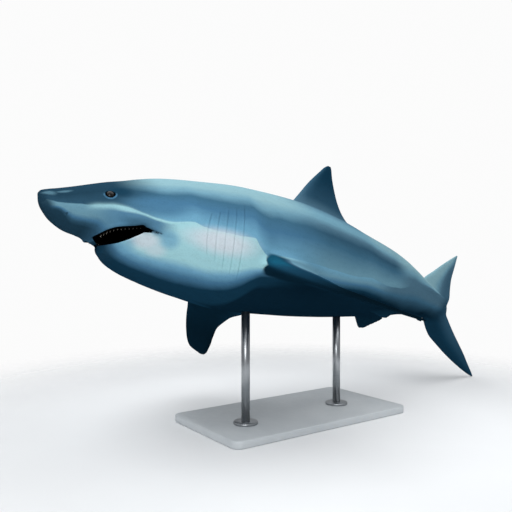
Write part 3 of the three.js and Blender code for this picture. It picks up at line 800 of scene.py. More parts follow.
def straight_skin():
    """The whole animal as one mesh, straight."""
    head, jaw = head_cage(), jaw_cage()
    for piece in (head, jaw):
        cut(piece, pocket_cage())
    pieces = [head, jaw] + [fin_cage(name, fin, 1.1 * CELL) for name, fin in FINS.items()]
    with bpy.context.temp_override(active_object=head, selected_editable_objects=pieces):
        bpy.ops.object.join()
    move_vertices(head.data, stretch(vertices(head.data)))
    remesh = head.modifiers.new("remesh", "REMESH")
    remesh.mode, remesh.voxel_size = "VOXEL", CELL
    settle(head)
    points = onto_skin(unstretch(vertices(head.data)))
    move_vertices(head.data, points)
    return head, points


# ---------------------------------------------------------------- materials


def colour(red, green, blue):
    """A colour as a screen shows it, 0 to 255, made linear for the shaders."""
    parts = [c / 255 for c in (red, green, blue)]
    return tuple(c / 12.92 if c < 0.04045 else ((c + 0.055) / 1.055) ** 2.4 for c in parts) + (1,)


class Material:
    """A node material on one Principled shader, built with short calls."""

    def __init__(self, name, **settings):
        self.made = bpy.data.materials.new(name)
        self.made.use_nodes = True
        self.nodes, self.links = self.made.node_tree.nodes, self.made.node_tree.links
        self.shader = self.nodes["Principled BSDF"]
        for key, value in settings.items():
            self.shader.inputs[key.replace("_", " ").title().replace("Ior", "IOR")].default_value = value

    def put(self, socket, value):
        if isinstance(value, bpy.types.NodeSocket):
            self.links.new(value, socket)
        elif value is not None:
            socket.default_value = value

    def node(self, kind, output, inputs, **settings):
        """Adds a node with these inputs and settings, and gives one of its outputs."""
        node = self.nodes.new("ShaderNode" + kind)
        for key, value in settings.items():
            setattr(node, key, value)
        for key, value in inputs.items():
            self.put(node.inputs[key], value)
        return node.outputs[output]

    def attribute(self, name, output="Fac"):
        return self.node("Attribute", output, {}, attribute_name=name)

    def place(self):
        return self.node("TexCoord", "Object", {})

    def apart(self, vector, axis):
        return self.node("SeparateXYZ", axis, {0: vector})

    def stretched(self, vector, scale):
        return self.node("Mapping", "Vector", {"Vector": vector, "Scale": scale})

    def noise(self, vector, scale, detail=3, rough=0.5):
        inputs = {"Vector": vector, "Scale": scale, "Detail": detail, "Roughness": rough}
        return self.node("TexNoise", "Fac", inputs)

    def cells(self, vector, scale):
        return self.node("TexVoronoi", "Distance", {"Vector": vector, "Scale": scale})

    def math(self, operation, a, b):
        return self.node("Math", 0, {0: a, 1: b}, operation=operation)

    def spread(self, value, low, high, to_low=0.0, to_high=1.0):
        """The value's smooth rise from low to high, as a number from to_low to to_high."""
        inputs = dict(enumerate((value, low, high, to_low, to_high)))
        return self.node("MapRange", 0, inputs, interpolation_type="SMOOTHSTEP")

    def ramp(self, value, stops):
        node = self.nodes.new("ShaderNodeValToRGB")
        line = node.color_ramp.elements
        while len(line) < len(stops):
            line.new(0.5)
        for element, (at, shown) in zip(line, stops):
            element.position, element.color = at, colour(*shown)
        self.put(node.inputs["Fac"], value)
        return node.outputs["Color"]

    def mix(self, share, a, b, blend="MIX"):
        inputs = {"Factor": share, "A": a, "B": b}
        return self.node("Mix", "Result", inputs, data_type="RGBA", blend_type=blend)

    def bump(self, height, depth, under=None):
        return self.node("Bump", "Normal", {"Distance": depth, "Height": height, "Normal": under})

    def finish(self, base, rough, normal=None):
        self.put(self.shader.inputs["Base Color"], base)
        self.put(self.shader.inputs["Roughness"], rough)
        self.put(self.shader.inputs["Normal"], normal)
        return self.made


# The palette, as a screen shows it.
PAINTS = dict(
    ice=(210, 222, 230),
    foam=(167, 215, 223),
    mist=(136, 174, 184),
    sky=(116, 171, 200),
    haze=(110, 154, 173),
    azure=(74, 121, 153),
    steel=(64, 106, 131),
    slate=(80, 115, 135),
    sea=(50, 85, 107),
    teal=(33, 62, 80),
    navy=(21, 56, 77),
    lagoon=(24, 88, 114),
    ink=(12, 37, 53),
    coal=(5, 19, 28),
    # near-black, painted as shade in the mouth and the eye openings
    mouth=(2, 2, 3),
)
# The paints of the blue back, from its ridge, 0, to its border, 1.
# The pale mist and haze near the ridge are a painted highlight, and the darker bands under them painted
# shade.
BACKS = dict(
    head=[(0.3, "teal"), (0.72, "teal"), (1, "sea")],
    body=[
        (0.36, "mist"),
        (0.48, "mist"),
        (0.585, "haze"),
        (0.68, "steel"),
        (0.8, "azure"),
        (0.96, "sky"),
    ],
    rear=[
        (0.3, "slate"),
        (0.45, "haze"),
        (0.53, "haze"),
        (0.6, "slate"),
        (0.69, "sea"),
        (0.8, "steel"),
        (1, "haze"),
    ],
    tail=[(0.5, "mist"), (0.72, "haze"), (0.88, "slate")],
)
# The flank's, from that border, 0, to the line where it turns dark again in painted shade, 0.5, and on
# below it.
FLANKS = dict(
    head=[(0.28, "haze"), (0.4, "azure"), (0.51, "sea"), (0.65, "teal")],
    body=[(0.34, "foam"), (0.42, "sky"), (0.5, "azure"), (0.61, "navy"), (0.85, "navy"), (1, "ink")],
    rear=[(0, "sky"), (0.28, "haze"), (0.42, "azure"), (0.5, "steel"), (0.65, "navy"), (0.8, "ink")],
    tail=[(0.25, "slate"), (0.4, "steel"), (0.5, "sea"), (0.62, "teal"), (0.74, "ink")],
)
# Over what stations, in metres, one part's tones pass into the next one's.
BACK_PASSES = dict(body=(0.35, 0.66), rear=(1.4, 1.85), tail=(2.65, 3.0))
FLANK_PASSES = dict(body=(0.33, 0.46), rear=(1.2, 1.7), tail=(2.3, 2.7))
# The fins', from the darkest to the palest.
FINS_PAINT = [(0, "coal"), (0.25, "navy"), (0.5, "sea"), (0.72, "slate"), (0.87, "haze"), (1, "mist")]


def painted(m, share, stops):
    return m.ramp(share, [(at, PAINTS[paint]) for at, paint in stops])


def along_body(m, share, tones, passes, station):
    """The tones of head, body, rear and tail, each passing into the next."""
    base = painted(m, share, tones["head"])
    for part, (start, end) in passes.items():
        base = m.mix(m.spread(station, start, end), base, painted(m, share, tones[part]))
    return base


def plain(paint):
    return colour(*PAINTS[paint])


def skin_tones(m, rest):
    """The tones of back and flank, which meet in a slightly ragged border, with the painted highlight
    and shade they hold.
    """
    station = m.apart(rest, "X")
    ragged = m.math("SUBTRACT", m.noise(rest, 16, 5, 0.6), 0.5)
    below = m.math("ADD", m.attribute("border"), m.math("MULTIPLY", ragged, 0.008))
    cloudy = m.noise(m.stretched(rest, (1, 2, 2)), 5, 4, 0.55)
    cloudy = m.math("MULTIPLY", m.math("SUBTRACT", cloudy, 0.5), 0.05)
    back = m.math("ADD", m.attribute("back"), cloudy)
    flank = m.math("ADD", m.attribute("flank"), cloudy)
    back = along_body(m, back, BACKS, BACK_PASSES, station)
    flank = along_body(m, flank, FLANKS, FLANK_PASSES, station)
    return m.mix(m.spread(below, -0.003, 0.004), back, flank)


def skin_marks(m, base):
    """The lip's painted shade, the pale strip, the soft spots of painted light and shade and the fins,
    painted over the tones, with a painted highlight on the pectorals' roots.
    """
    # Painted shade: the blue along the upper lip.
    base = m.mix(m.attribute("upper_lip"), base, plain("azure"))
    base = m.mix(m.attribute("border_strip"), base, plain("foam"))
    # Soft spots, mostly painted highlights and painted shade.
    for paint in LIGHT_AND_SHADE_SPOTS:
        base = m.mix(m.attribute("spot_" + paint), base, plain(paint))
    # The fins' own paint; on the pectorals its light top and dark underside are painted light and shade.
    base = m.mix(m.attribute("fin"), base, painted(m, m.attribute("fin_tone"), FINS_PAINT))
    # Painted highlight on the rolled roots of the pectorals.
    return m.mix(m.attribute("shoulder"), base, plain("lagoon"))


def mottled(m, base, rest):
    """Fine freckles and faint larger patches."""
    freckles = m.spread(m.noise(rest, 120, 4, 0.6), 0.35, 0.75, 0.94, 1.07)
    patches = m.spread(m.noise(m.stretched(rest, (1, 3, 3)), 14, 5, 0.6), 0.3, 0.7, 0.96, 1.05)
    tone = m.math("MULTIPLY", freckles, patches)
    return m.mix(1.0, base, m.mix(tone, (0, 0, 0, 1), (1, 1, 1, 1)), "MULTIPLY")


def skin_material():
    """Matt shark skin: a blue back with a painted highlight near its ridge, a crisp border, a pale flank
    that darkens below in painted shade, fine denticles.
    """
    m = Material("skin", specular_ior_level=0.0)
    rest = m.attribute("straight", "Vector")
    base = mottled(m, skin_marks(m, skin_tones(m, rest)), rest)
    base = m.mix(m.attribute("lid"), base, plain("azure"))
    # Painted shade: near-black inside the mouth, in the fold at its corner and at the edge of each eye
    # opening.
    base = m.mix(m.attribute("mouth"), base, plain("mouth"))
    rough = m.spread(m.noise(rest, 30, 3), 0.3, 0.7, 0.36, 0.5)
    denticles = m.bump(m.cells(m.stretched(rest, (0.7, 1, 1)), 520), 0.0006)
    return m.finish(base, rough, m.bump(m.noise(rest, 42, 4, 0.6), 0.0016, denticles))


def eye_material():
    """A black pupil in a narrow grey-brown iris, under a wet cornea."""
    m = Material("eye", coat_weight=0.25, coat_roughness=0.04, specular_ior_level=0.1)
    gaze, rest = m.attribute("gaze"), m.attribute("straight", "Vector")
    streaks = m.noise(rest, 400, 3, 0.6)
    drift = m.math("ADD", gaze, m.math("MULTIPLY", m.math("SUBTRACT", streaks, 0.5), 0.05))
    stops = [(0, (2, 2, 3)), (0.4, (4, 4, 5)), (0.5, (24, 20, 19)), (0.64, (32, 29, 28))]
    base = m.ramp(drift, stops + [(0.78, (10, 9, 9)), (0.88, (4, 5, 6))])
    return m.finish(base, m.spread(streaks, 0.3, 0.7, 0.12, 0.2))


def shaded_tooth_material():
    """Ivory, dimmed as painted shade inside the mouth, darker and rougher at the root."""
    m = Material("tooth", coat_weight=0.3, coat_roughness=0.15, specular_ior_level=0.3)
    up, rest = m.attribute("height"), m.attribute("straight", "Vector")
    base = m.ramp(up, [(0, (34, 32, 30)), (0.4, (92, 88, 80)), (1, (138, 134, 124))])
    grain = m.noise(m.stretched(rest, (3, 3, 1)), 300, 3)
    base = m.mix(m.spread(grain, 0.4, 0.8, 0, 0.25), base, colour(84, 78, 66))
    return m.finish(base, m.spread(grain, 0.3, 0.7, 0.22, 0.36), m.bump(grain, 0.0003))


def paint_material():
    """The base: pale satin paint with a faint roller stipple."""
    m = Material("stand_paint", coat_weight=0.15, coat_roughness=0.3)
    place = m.place()
    cloud = m.noise(place, 3, 4, 0.6)
    base = m.ramp(cloud, [(0.3, (186, 192, 196)), (0.7, (198, 203, 206))])
    stipple = m.noise(place, 380, 2, 0.6)
    rough = m.spread(m.noise(place, 25, 3), 0.3, 0.7, 0.38, 0.5)
    return m.finish(base, rough, m.bump(stipple, 0.0004))


def steel_material():
    """Brushed stainless steel, the grain running round the rods."""
    m = Material("stand_steel", metallic=1.0)
    place = m.place()
    brushed = m.noise(m.stretched(place, (6, 6, 900)), 1.4, 3, 0.7)
    base = m.ramp(brushed, [(0.3, (150, 154, 158)), (0.7, (186, 189, 192))])
    rough = m.spread(brushed, 0.2, 0.8, 0.24, 0.4)
    return m.finish(base, rough, m.bump(brushed, 0.0001))


# How far from the middle of the stand the floor starts to fade and is gone, in metres.
FLOOR_FADES = (1.3, 3.8)


def floor_material():
    """Pale and matt, thinning out into the white of the studio far from the stand."""
    m = Material("floor")
    place = m.place()
    cloud = m.noise(place, 0.6, 4, 0.6)
    base = m.ramp(cloud, [(0.3, (240, 241, 242)), (0.7, (244, 245, 246))])
    far = m.node("VectorMath", "Value", {0: place}, operation="LENGTH")
    m.put(m.shader.inputs["Alpha"], m.spread(far, *FLOOR_FADES, 1, 0))
    return m.finish(base, m.spread(cloud, 0.3, 0.7, 0.6, 0.7))


# ---------------------------------------------------------------- pieces


def attach(obj, material, replaced):
    """Gives a piece its material, and has it stand for the solids it replaces."""
    obj.data.materials.clear()
    obj.data.materials.append(material)
    obj.data.polygons.foreach_set("use_smooth", [True] * len(obj.data.polygons))
    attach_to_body(obj, "root")
    if replaced:
        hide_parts(*replaced)
    return obj


def mark(mesh, name, values):
    """Gives each vertex a number or a vector, for the material to read."""
    kind, field_name = ("FLOAT", "value") if np.ndim(values) == 1 else ("FLOAT_VECTOR", "vector")
    layer = mesh.attributes.new(name, kind, "POINT")
    layer.data.foreach_set(field_name, np.asarray(values, np.float32).ravel())


# Where the blue back ends: station, degrees round from the ridge.
BORDER = [
    (0.003, 150), (0.009, 99), (0.022, 94.9), (0.0417, 93.2), (0.0515, 96.3), (0.0638, 95),
    (0.0796, 87.3), (0.0936, 85.6), (0.1123, 90.2), (0.1288, 93.9), (0.1442, 95.1),
    (0.1744, 91.3), (0.1901, 94.7), (0.2116, 95.7), (0.2338, 96.2), (0.2618, 95.5),
    (0.2709, 101.3), (0.281, 106.8), (0.2888, 109.1), (0.3093, 107.3), (0.3428, 107.2),
    (0.418, 110.2), (0.4658, 111.2), (0.5146, 108.4), (0.5371, 110.3), (0.5716, 113),
    (0.614, 111.8), (0.6723, 101.8), (0.75, 98), (0.85, 90),
]
# Where the pale flank turns dark again below, in the painted shade of the underside.
BELLY_SHADE_LINE = [
    (0.0048, 154), (0.022, 117), (0.04, 134), (0.065, 132), (0.083, 150), (0.1, 151),
    (0.135, 150), (0.165, 148), (0.2, 147), (0.24, 141), (0.285, 125.5), (0.345, 122),
    (0.42, 125), (0.5, 125), (0.58, 134), (0.66, 143), (0.73, 146), (0.85, 150),
]
# Soft spots of each paint, mostly painted light and shade: pale highlights on the snout, jaw and back,
# dark shade by the eye, under the snout and jaw and below the mouth's corner. Station, degrees round
# from the back, reach along, reach round in degrees, strength.
LIGHT_AND_SHADE_SPOTS = dict(
    haze=[(0.01, 60, 0.007, 12, 0.5), (0.026, 53, 0.008, 5, 0.45)],
    teal=[(0.006, 130, 0.011, 40, 0.95)],
    ice=[(0.215, 105, 0.046, 11, 1), (0.117, 120, 0.02, 11, 0.9), (0.132, 127, 0.014, 8, 0.6)],
    sky=[(0.0975, 133, 0.012, 13, 0.6), (0.147, 114, 0.012, 9, 0.75)],
    azure=[(0.13, 80, 0.036, 11, 0.8)],
    sea=[(0.108, 105, 0.016, 8, 0.7)],
    navy=[(0.087, 62, 0.012, 9, 0.75), (0.0785, 172, 0.0055, 34, 0.8)],
    mist=[(0.58, 42, 0.06, 14, 0.7)],
)
# The blue painted as shade along the upper lip, and the pale strip between it and the border: the
# stations where they fade in and out, and in metres how far under the border the shade starts, first in
# front and then closer.
UPPER_LIP_SHADE = dict(
    start=(0.052, 0.092),
    end=(0.128, 0.158),
    below=(0.02, 0.036),
    closer=(0.008, 0.018),
    closes=(0.09, 0.112),
    behind=(0.115, 0.13),
    strength=0.92,
)
BORDER_STRIP = dict(
    start=(0.045, 0.062),
    end=(0.145, 0.17),
    narrows=(0.085, 0.11),
    below=0.008,
    spread=0.015,
    strength=0.7,
)


def painted_lip_shade(s, z, below):
    """The lip's blue painted shade, from under the pale strip to the edge of the mouth. Its end behind
    is softer.
    """
    blue = UPPER_LIP_SHADE
    behind = smoothstep(s, *blue["behind"])
    edge = (UPPER(s) + LOWER(s)) / 2 - 0.004 * behind
    over_edge = smoothstep((z - edge) / (0.0005 + 0.0035 * behind), -1, 1)
    closes = smoothstep(s, *blue["closes"])
    start, full = (a + (b - a) * closes for a, b in zip(blue["below"], blue["closer"]))
    under_strip = np.clip((below - start) / (full - start), 0, 1)
    return blue["strength"] * fades(s, blue) * over_edge * under_strip


def border_strip(s, below):
    """The pale strip, half as wide over the corner of the mouth."""
    strip = BORDER_STRIP
    narrow = 1 - 0.5 * smoothstep(s, *strip["narrows"])
    light = bell(below, strip["below"] * narrow, strip["spread"] * narrow)
    return strip["strength"] * fades(s, strip) * narrow * light


def spots(rows, s, degrees):
    """How strongly one paint's soft spots cover each point."""
    share = np.zeros_like(s)
    for station, angle, along, around, strength in rows:
        away = np.hypot((s - station) / along, (degrees - angle) / around)
        share = np.maximum(share, strength * (1 - smoothstep(away, 0.4, 1.5)))
    return share


def fin_light(name, fin, p):
    """How light a fin's paint is: 0 the darkest, 1 the palest."""
    c, o, n = fin.local(p)
    t = fin.chord_share(c, o)
    if name == "dorsal":
        return 0.47 - 0.22 * smoothstep(o, 0.085, 0.16) + 0.2 * bell(t, 0, 0.16)
    if name == "caudal":
        over = 0.98 - 0.38 * smoothstep(t, 0.3, 0.85) * (1 - 0.5 * smoothstep(o, 0.08, 0.13))
        rear = 0.3 * smoothstep(t, 0.2, 0.9) * (1 - 0.6 * smoothstep(-o, 0.03, 0.12))
        return over + (0.2 + rear - over) * smoothstep(-o, -0.03, 0.02)
    if name.startswith("pectoral"):
        # The pectorals' upper face and rolled front are painted lighter as highlight, their underside
        # darker as painted shade.
        top = 0.27 * (1 - smoothstep(o, 0.02, 0.115))
        top += 0.58 * smoothstep(t, 0.18, 0.42) * (1 - smoothstep(o, 0.004, 0.032))
        under = 0.11 - 0.04 * smoothstep(o, 0.03, 0.1)
        side = n * np.sign(fin.across[2]) / fin.thickness(o)
        return under + (top - under) * smoothstep(side, -0.4, 0.25)
    return np.full(len(p), 0.14)


# How far out from the body each fin's own paint fades in, how far beside the blade it ends, and over
# what stations the tail fin's paint takes over the end of the body.
FIN_PAINTED = dict(
    dorsal=(0.006, 0.03),
    caudal=(0.003, 0.02),
    pectoral=(-0.001, 0.003),
    other=(0.001, 0.006),
)
PAINT_BESIDE = dict(pectoral=0.006, other=0.002)
TAIL_PAINTED = (0.785, 0.84)


def fin_paint(p, outward):
    """How much of a fin's own paint each point has, and how light that is."""
    share, tone = np.zeros(len(p)), np.zeros(len(p))
    for name, fin in FINS.items():
        c, o, n = fin.local(p)
        kind = name.split("_")[0]
        beside = PAINT_BESIDE.get(kind, PAINT_BESIDE["other"])
        on = 1 - smoothstep(np.abs(n) - fin.thickness(o) / 2, beside / 3, beside)
        on *= 1 - smoothstep(fin.outline(c, o), 0.0005, 0.0025)
        own = on * smoothstep(outward, *FIN_PAINTED.get(kind, FIN_PAINTED["other"]))
        if name == "caudal":
            own = np.maximum(own, smoothstep(p[:, 0], *TAIL_PAINTED))
        tone = np.where(own > share, fin_light(name, fin, p), tone)
        share = np.maximum(share, own)
    return share, np.clip(tone, 0, 1)


def painted_shoulder_highlight(p):
    """The painted highlight, in a bluish teal, on the rolled front edge of each pectoral fin's root."""
    share = np.zeros(len(p))
    for side in SIDES:
        fin = FINS["pectoral_" + side]
        c, o, n = fin.local(p)
        t = fin.chord_share(c, o)
        on_top = smoothstep(n * np.sign(fin.across[2]), -0.004, 0.008)
        in_front = smoothstep(t, -0.2, 0.02) * (1 - smoothstep(t, 0.12, 0.3))
        share = np.maximum(share, on_top * in_front * bell(o, 0.002, 0.02))
    return 0.9 * share


def lid_paint(p):
    """The pale lower rim round each eye, and the dark edge of its opening painted as shade."""
    pale, dark = np.zeros(len(p)), np.zeros(len(p))
    for side in SIDES.values():
        at, rows = socket_frame(side)
        q = (p - at) @ rows.T
        away = oval_distance(q, lid_radii(q)) * TOTAL_LENGTH
        rim = smoothstep(away, 0.002, 0.004) * (1 - smoothstep(away, 0.009, 0.015))
        pale = np.maximum(pale, rim * smoothstep(-q[:, 1], -0.002, 0.002))
        dark = np.maximum(dark, 1 - smoothstep(away, 0.001, 0.0035))
    return pale, dark


# The front lip keeps its skin up to LIP_BACK before its rear face. No black painted shade lies behind
# POCKET_END.
LIP_BACK, ON_LIP, POCKET_END = 0.0015, 0.0008, 0.17


def mouth_shade(p, outward):
    """Where the mouth is painted black as shade: under the skin's level, and in the fold at the corner.
    """
    s, _, z = p.T
    before = -behind_lip(s, z) - LIP_BACK
    level = np.where(front_lip(p) < ON_LIP, np.maximum(outward, before), outward)
    black_shade = smoothstep(-level, 0.0003, 0.0012) * (s < POCKET_END)
    return np.maximum(black_shade, crease(s, z))


def paint_marks(mesh, p):
    """What the skin's material reads: the straight shape, in metres, and where its colours, painted
    light and painted shade change.
    """
    s, y, z = p.T
    _, half, middle = section(s)
    degrees = np.degrees(np.arctan2(np.abs(y), z - middle))
    border, belly = curve(BORDER)(s), curve(BELLY_SHADE_LINE)(s)
    below = (middle + half * np.cos(np.radians(border)) - z) * TOTAL_LENGTH
    blue = painted_lip_shade(s, z, below)
    outward = body_distance(p)
    fin, fin_tone = fin_paint(p, outward)
    pale_lid, lid_edge_shade = lid_paint(p)
    marks = dict(
        straight=p * TOTAL_LENGTH,
        back=degrees / border,
        flank=np.clip((degrees - border) / (belly - border) / 2, 0, 1),
        border=below,
        fin=fin,
        fin_tone=fin_tone,
        shoulder=painted_shoulder_highlight(p) * fin,
        lid=pale_lid,
        mouth=np.maximum(mouth_shade(p, outward), lid_edge_shade),
        upper_lip=blue,
        border_strip=border_strip(s, below),
    )
    for paint, rows in LIGHT_AND_SHADE_SPOTS.items():
        marks["spot_" + paint] = spots(rows, s, degrees)
    marks["spot_ice"] *= 1 - blue
    for name, values in marks.items():
        mark(mesh, name, values)


# The teeth: how many from corner to corner, their size in metres and how far the roots are sunk. The
# row's stations, how far it is set in, and the gap in its middle.
TEETH = dict(upper=32, lower=26, height=0.012, width=0.013, thick=0.005, sunk=0.009)
TOOTH_ROW = dict(front=0.0655, end=0.112, behind=0.0045, inside=0.82, gap=0.016)
TOOTH_ACROSS, TOOTH_UP = 15, 14
SHORTER_BEHIND, TOOTH_SIZES, TOOTH_LEANS = 0.45, (0.8, 1.1), (0.05, 0.04)


def tooth_row(jaw, count):
    """Places along a jaw's curve: where each tooth stands and the way along the row, straight animal."""
    lip = LOWER if jaw else UPPER
    front = JAW_TIP if jaw else TOOTH_ROW["front"]
    bend = np.linspace(0, 1, 60)
    s = front + (TOOTH_ROW["end"] - front) * bend**2
    width, half, middle = section(s, jaw)
    rise = np.clip((lip(s) - middle) / half, -1, 1)
    y = width * np.sqrt(1 - rise**2) * TOOTH_ROW["inside"]
    y[0] = 0
    side = np.stack([s + TOOTH_ROW["behind"], y, lip(s)], -1)
    line = np.concatenate([side[::-1] * (1, -1, 1), side[1:]])
    along = np.concatenate([[0], np.cumsum(np.linalg.norm(np.diff(line, axis=0), axis=1))])
    marks = (np.arange(count) + 0.5) / count * along[-1]
    at = np.stack([np.interp(marks, along, line[:, k]) for k in range(3)], -1)
    ahead = np.stack([np.interp(marks + 1e-4, along, line[:, k]) for k in range(3)], -1)
    return at, ahead - at


def tooth_shape(size):
    """One tooth, standing up: rings from the root to the tip, saw-edged, flatter outside. In metres."""
    turns = full_turn(2 * TOOTH_ACROSS)
    rings = []
    for up in np.linspace(0, 1, TOOTH_UP):
        level = up * (TEETH["height"] + TEETH["sunk"]) - TEETH["sunk"]
        shown = max(0, level / TEETH["height"])
        saw = 0.94 + 0.06 * math.cos(up * 60)
        narrow = (1 - shown) ** 0.8 * saw + 0.02
        x = TEETH["width"] / 2 * narrow * np.cos(turns)
        flat = np.where(np.sin(turns) > 0, 0.7, 1.2)
        y = TEETH["thick"] / 2 * narrow**0.5 * np.sin(turns) * flat
        z = np.full_like(x, level)
        rings.append(np.stack([x, y + 0.12 * z * shown, z], -1) * size)
    return np.array(rings)


def tooth_frame(place, way, up):
    """A tooth's own axes as rows: along the row, outwards and up."""
    x, z = unit(way), unit(up)
    y = unit(np.cross(z, x))
    return np.array([x, y * np.sign(y @ (-1, np.sign(place[1]), 0)), z])


def tube_faces(start, levels, spokes):
    """The closed faces round rings whose points are numbered from start."""
    faces = []
    for i in range(levels - 1):
        for j in range(spokes):
            a, b = start + i * spokes + j, start + i * spokes + (j + 1) % spokes
            faces.append((a, b, b + spokes, a + spokes))
    faces.append(tuple(range(start, start + spokes))[::-1])
    faces.append(tuple(range(start + (levels - 1) * spokes, start + levels * spokes)))
    return faces


def make_teeth(name, jaw, count, material):
    """A jaw's row of teeth as one mesh, smaller towards the corners, each leaning its own way."""
    rng = np.random.default_rng(7 + jaw)
    at, along = tooth_row(jaw, count)
    first, last = at[:, 0].min(), at[:, 0].max()
    points, faces, heights = [], [], []
    for place, way in zip(at, along):
        if abs(place[1]) < TOOTH_ROW["gap"]:
            continue
        shorter = 1 - SHORTER_BEHIND * (place[0] - first) / (last - first)
        rings = tooth_shape(shorter * rng.uniform(*TOOTH_SIZES))
        up = [rng.normal(0, lean) for lean in TOOTH_LEANS] + [1 if jaw else -1]
        faces += tube_faces(len(points), *rings.shape[:2])
        points += list(place + rings.reshape(-1, 3) / TOTAL_LENGTH @ tooth_frame(place, way, up))
        heights += list(rings[:, :, 2].ravel() / TEETH["height"])
    obj = mesh_object(name, swim(np.array(points)), faces)
    tidy_faces(obj)
    mark(obj.data, "height", np.clip(heights, 0, 1))
    mark(obj.data, "straight", np.array(points) * TOTAL_LENGTH)
    return attach(obj, material, [])


def make_skin():
    """The one skin that stands for all the flesh nodes."""
    obj, p = straight_skin()
    paint_marks(obj.data, p)
    move_vertices(obj.data, swim(p))
    flesh = [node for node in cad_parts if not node.startswith(("eye_", "stand_"))]
    return attach(obj, skin_material(), flesh)


EYE_RINGS, EYE_SPOKES = 40, 64


def make_eye(place, side, material):
    """An eyeball with its cornea, turned along the look of the eye."""
    at, rows = socket_frame(side)
    out = rows[2]
    radius = EYE["radius"] / TOTAL_LENGTH
    centre = at + out * (EYE["proud"] - EYE["radius"]) / TOTAL_LENGTH
    turns = full_turn(EYE_SPOKES)
    gazes = np.linspace(0.02, math.pi - 0.02, EYE_RINGS)
    rings = []
    for gaze in gazes:
        reach = radius * (1 + 0.03 * bell(gaze, 0, 0.5))
        wide = rows[0] * np.cos(turns)[:, None] + rows[1] * np.sin(turns)[:, None]
        rings.append(centre + reach * (out * math.cos(gaze) + wide * math.sin(gaze)))
    p = np.concatenate(rings)
    obj = loft(place + "_eye", rings)
    mark(obj.data, "gaze", np.repeat(gazes, EYE_SPOKES))
    mark(obj.data, "straight", p * TOTAL_LENGTH)
    move_vertices(obj.data, swim(p))
    return attach(obj, material, ["eye_" + place])


def lathe(name, profile, centre, spokes=72):
    """A turned piece: rows of radius and height round an upright line, from the lower end up."""
    turns = full_turn(spokes)
    circle = np.stack([np.cos(turns), np.sin(turns)], -1)
    rings = [np.column_stack([circle * r + centre[:2], np.full(spokes, z)]) for r, z in profile]
    return loft(name, rings)


def make_rod(place, steel):
    """A turned rod, from flange to belly."""
    low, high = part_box("stand_rod_" + place)
    middle = (np.array(low) + np.array(high)) / 2
    radius = (high.x - low.x) / 2
    profile = [(radius, low.z), (radius, high.z)]
    return attach(lathe("rod_" + place, profile, middle), steel, ["stand_rod_" + place])


def make_flange(place, steel):
    """The bevelled collar round the foot of a rod."""
    low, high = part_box("stand_flange_" + place)
    middle = (np.array(low) + np.array(high)) / 2
    radius, thick = (high.x - low.x) / 2, high.z - low.z
    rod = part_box("stand_rod_" + place)
    bore = (rod[1].x - rod[0].x) / 2
    bevel = thick * 0.25
    profile = [(radius, low.z), (radius, high.z - bevel), (radius - bevel, high.z), (bore, high.z)]
    obj = lathe("flange_" + place, profile, middle)
    return attach(obj, steel, ["stand_flange_" + place])


def rounded_slab(name, low, high, corner, bevel):
    """A slab with rounded corners and softened edges."""
    centre = (np.array(low) + np.array(high)) / 2
    half = (np.array(high) - np.array(low))[:2] / 2
    edge = [(bevel, 0), (0.3 * bevel, 0.3 * bevel), (0, bevel)]
    rows = [(inset, low[2] + rise) for inset, rise in edge]
    rows += [(inset, high[2] - rise) for inset, rise in edge[::-1]]
    rings = []
    for inset, z in rows:
        ring = []
        for sx, sy, start in ((1, 1, 0), (-1, 1, 90), (-1, -1, 180), (1, -1, 270)):
            for turned in np.radians(start + np.linspace(0, 90, 13)):
                x = centre[0] + sx * (half[0] - corner) + (corner - inset) * math.cos(turned)
                y = centre[1] + sy * (half[1] - corner) + (corner - inset) * math.sin(turned)
                ring.append((x, y, z))
        rings.append(ring)
    return loft(name, rings)


BASE_CORNER, BASE_BEVEL = 0.06, 0.008


def make_stand():
    steel, paint = steel_material(), paint_material()
    low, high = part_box("stand_base")
    base = rounded_slab("base", low, high, BASE_CORNER, BASE_BEVEL)
    attach(base, paint, ["stand_base"])
    for place in ("front", "rear"):
        make_rod(place, steel)
        make_flange(place, steel)


def make_floor():
    """A very flat cone, wide enough to have faded out at its rim."""
    floor = lathe("floor", [(FLOOR_FADES[1], -0.001), (0.01, -0.0005)], (0, 0), 96)
    floor.data.materials.append(floor_material())


# ---------------------------------------------------------------- camera and light


# Recovered from the picture, in metres and millimetres.
CAMERA = dict(at=(-2.686, -3.307, 1.142), along=(0.5817, 0.8134, 0), lens=42.0, sensor=36)
# The studio's grey from below to above, as it lights the part, and its white as the camera sees it.
STUDIO_LOW, STUDIO_HIGH, STUDIO_SEEN = (0.26, 0.27, 0.28, 1), (0.6, 0.62, 0.64, 1), (0.97, 0.97, 0.97, 1)


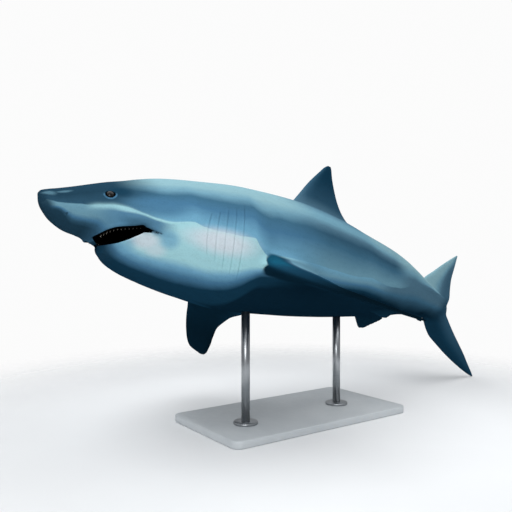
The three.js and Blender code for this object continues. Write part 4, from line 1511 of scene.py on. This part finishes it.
def make_camera():
    data = bpy.data.cameras.new("camera")
    data.sensor_width, data.lens = CAMERA["sensor"], CAMERA["lens"]
    camera = bpy.data.objects.new("camera", data)
    camera.location = CAMERA["at"]
    camera.rotation_euler = Vector(CAMERA["along"]).to_track_quat("-Z", "Y").to_euler()
    bpy.context.scene.collection.objects.link(camera)
    bpy.context.scene.camera = camera


def area_light(name, at, towards, size, watts):
    data = bpy.data.lights.new(name, "AREA")
    data.shape, data.size, data.size_y = "RECTANGLE", size[0], size[1]
    data.energy = watts
    light = bpy.data.objects.new(name, data)
    light.location = at
    light.rotation_euler = (Vector(towards) - Vector(at)).to_track_quat("-Z", "Y").to_euler()
    bpy.context.scene.collection.objects.link(light)


def make_light():
    """A white studio, with most of its light from overhead."""
    area_light("overhead", (-0.2, -0.4, 5.4), (0, 0, 1), (9, 7), 300)
    area_light("front", (-4.4, -4.6, 2.8), (-0.4, 0, 1.2), (3, 2), 120)
    world = bpy.data.worlds.new("studio")
    world.use_nodes = True
    nodes, links = world.node_tree.nodes, world.node_tree.links
    way = nodes.new("ShaderNodeTexCoord")
    split = nodes.new("ShaderNodeSeparateXYZ")
    ramp = nodes.new("ShaderNodeValToRGB")
    seen = nodes.new("ShaderNodeLightPath")
    white = nodes.new("ShaderNodeMix")
    white.data_type = "RGBA"
    links.new(way.outputs["Generated"], split.inputs[0])
    links.new(split.outputs["Z"], ramp.inputs["Fac"])
    links.new(ramp.outputs["Color"], white.inputs["A"])
    links.new(seen.outputs["Is Camera Ray"], white.inputs["Factor"])
    links.new(white.outputs["Result"], nodes["Background"].inputs["Color"])
    white.inputs["B"].default_value = STUDIO_SEEN
    ramp.color_ramp.elements[0].color = STUDIO_LOW
    ramp.color_ramp.elements[1].color = STUDIO_HIGH
    bpy.context.scene.world = world
    bpy.context.scene.view_settings.view_transform = "Standard"


make_camera()
make_skin()
look = eye_material()
for place, side in SIDES.items():
    make_eye(place, side, look)
# The teeth's ivory is dimmed as painted shade inside the mouth.
shaded_ivory = shaded_tooth_material()
make_teeth("teeth_upper", 0, TEETH["upper"], shaded_ivory)
make_teeth("teeth_lower", 1, TEETH["lower"], shaded_ivory)
make_stand()
make_floor()
make_light()
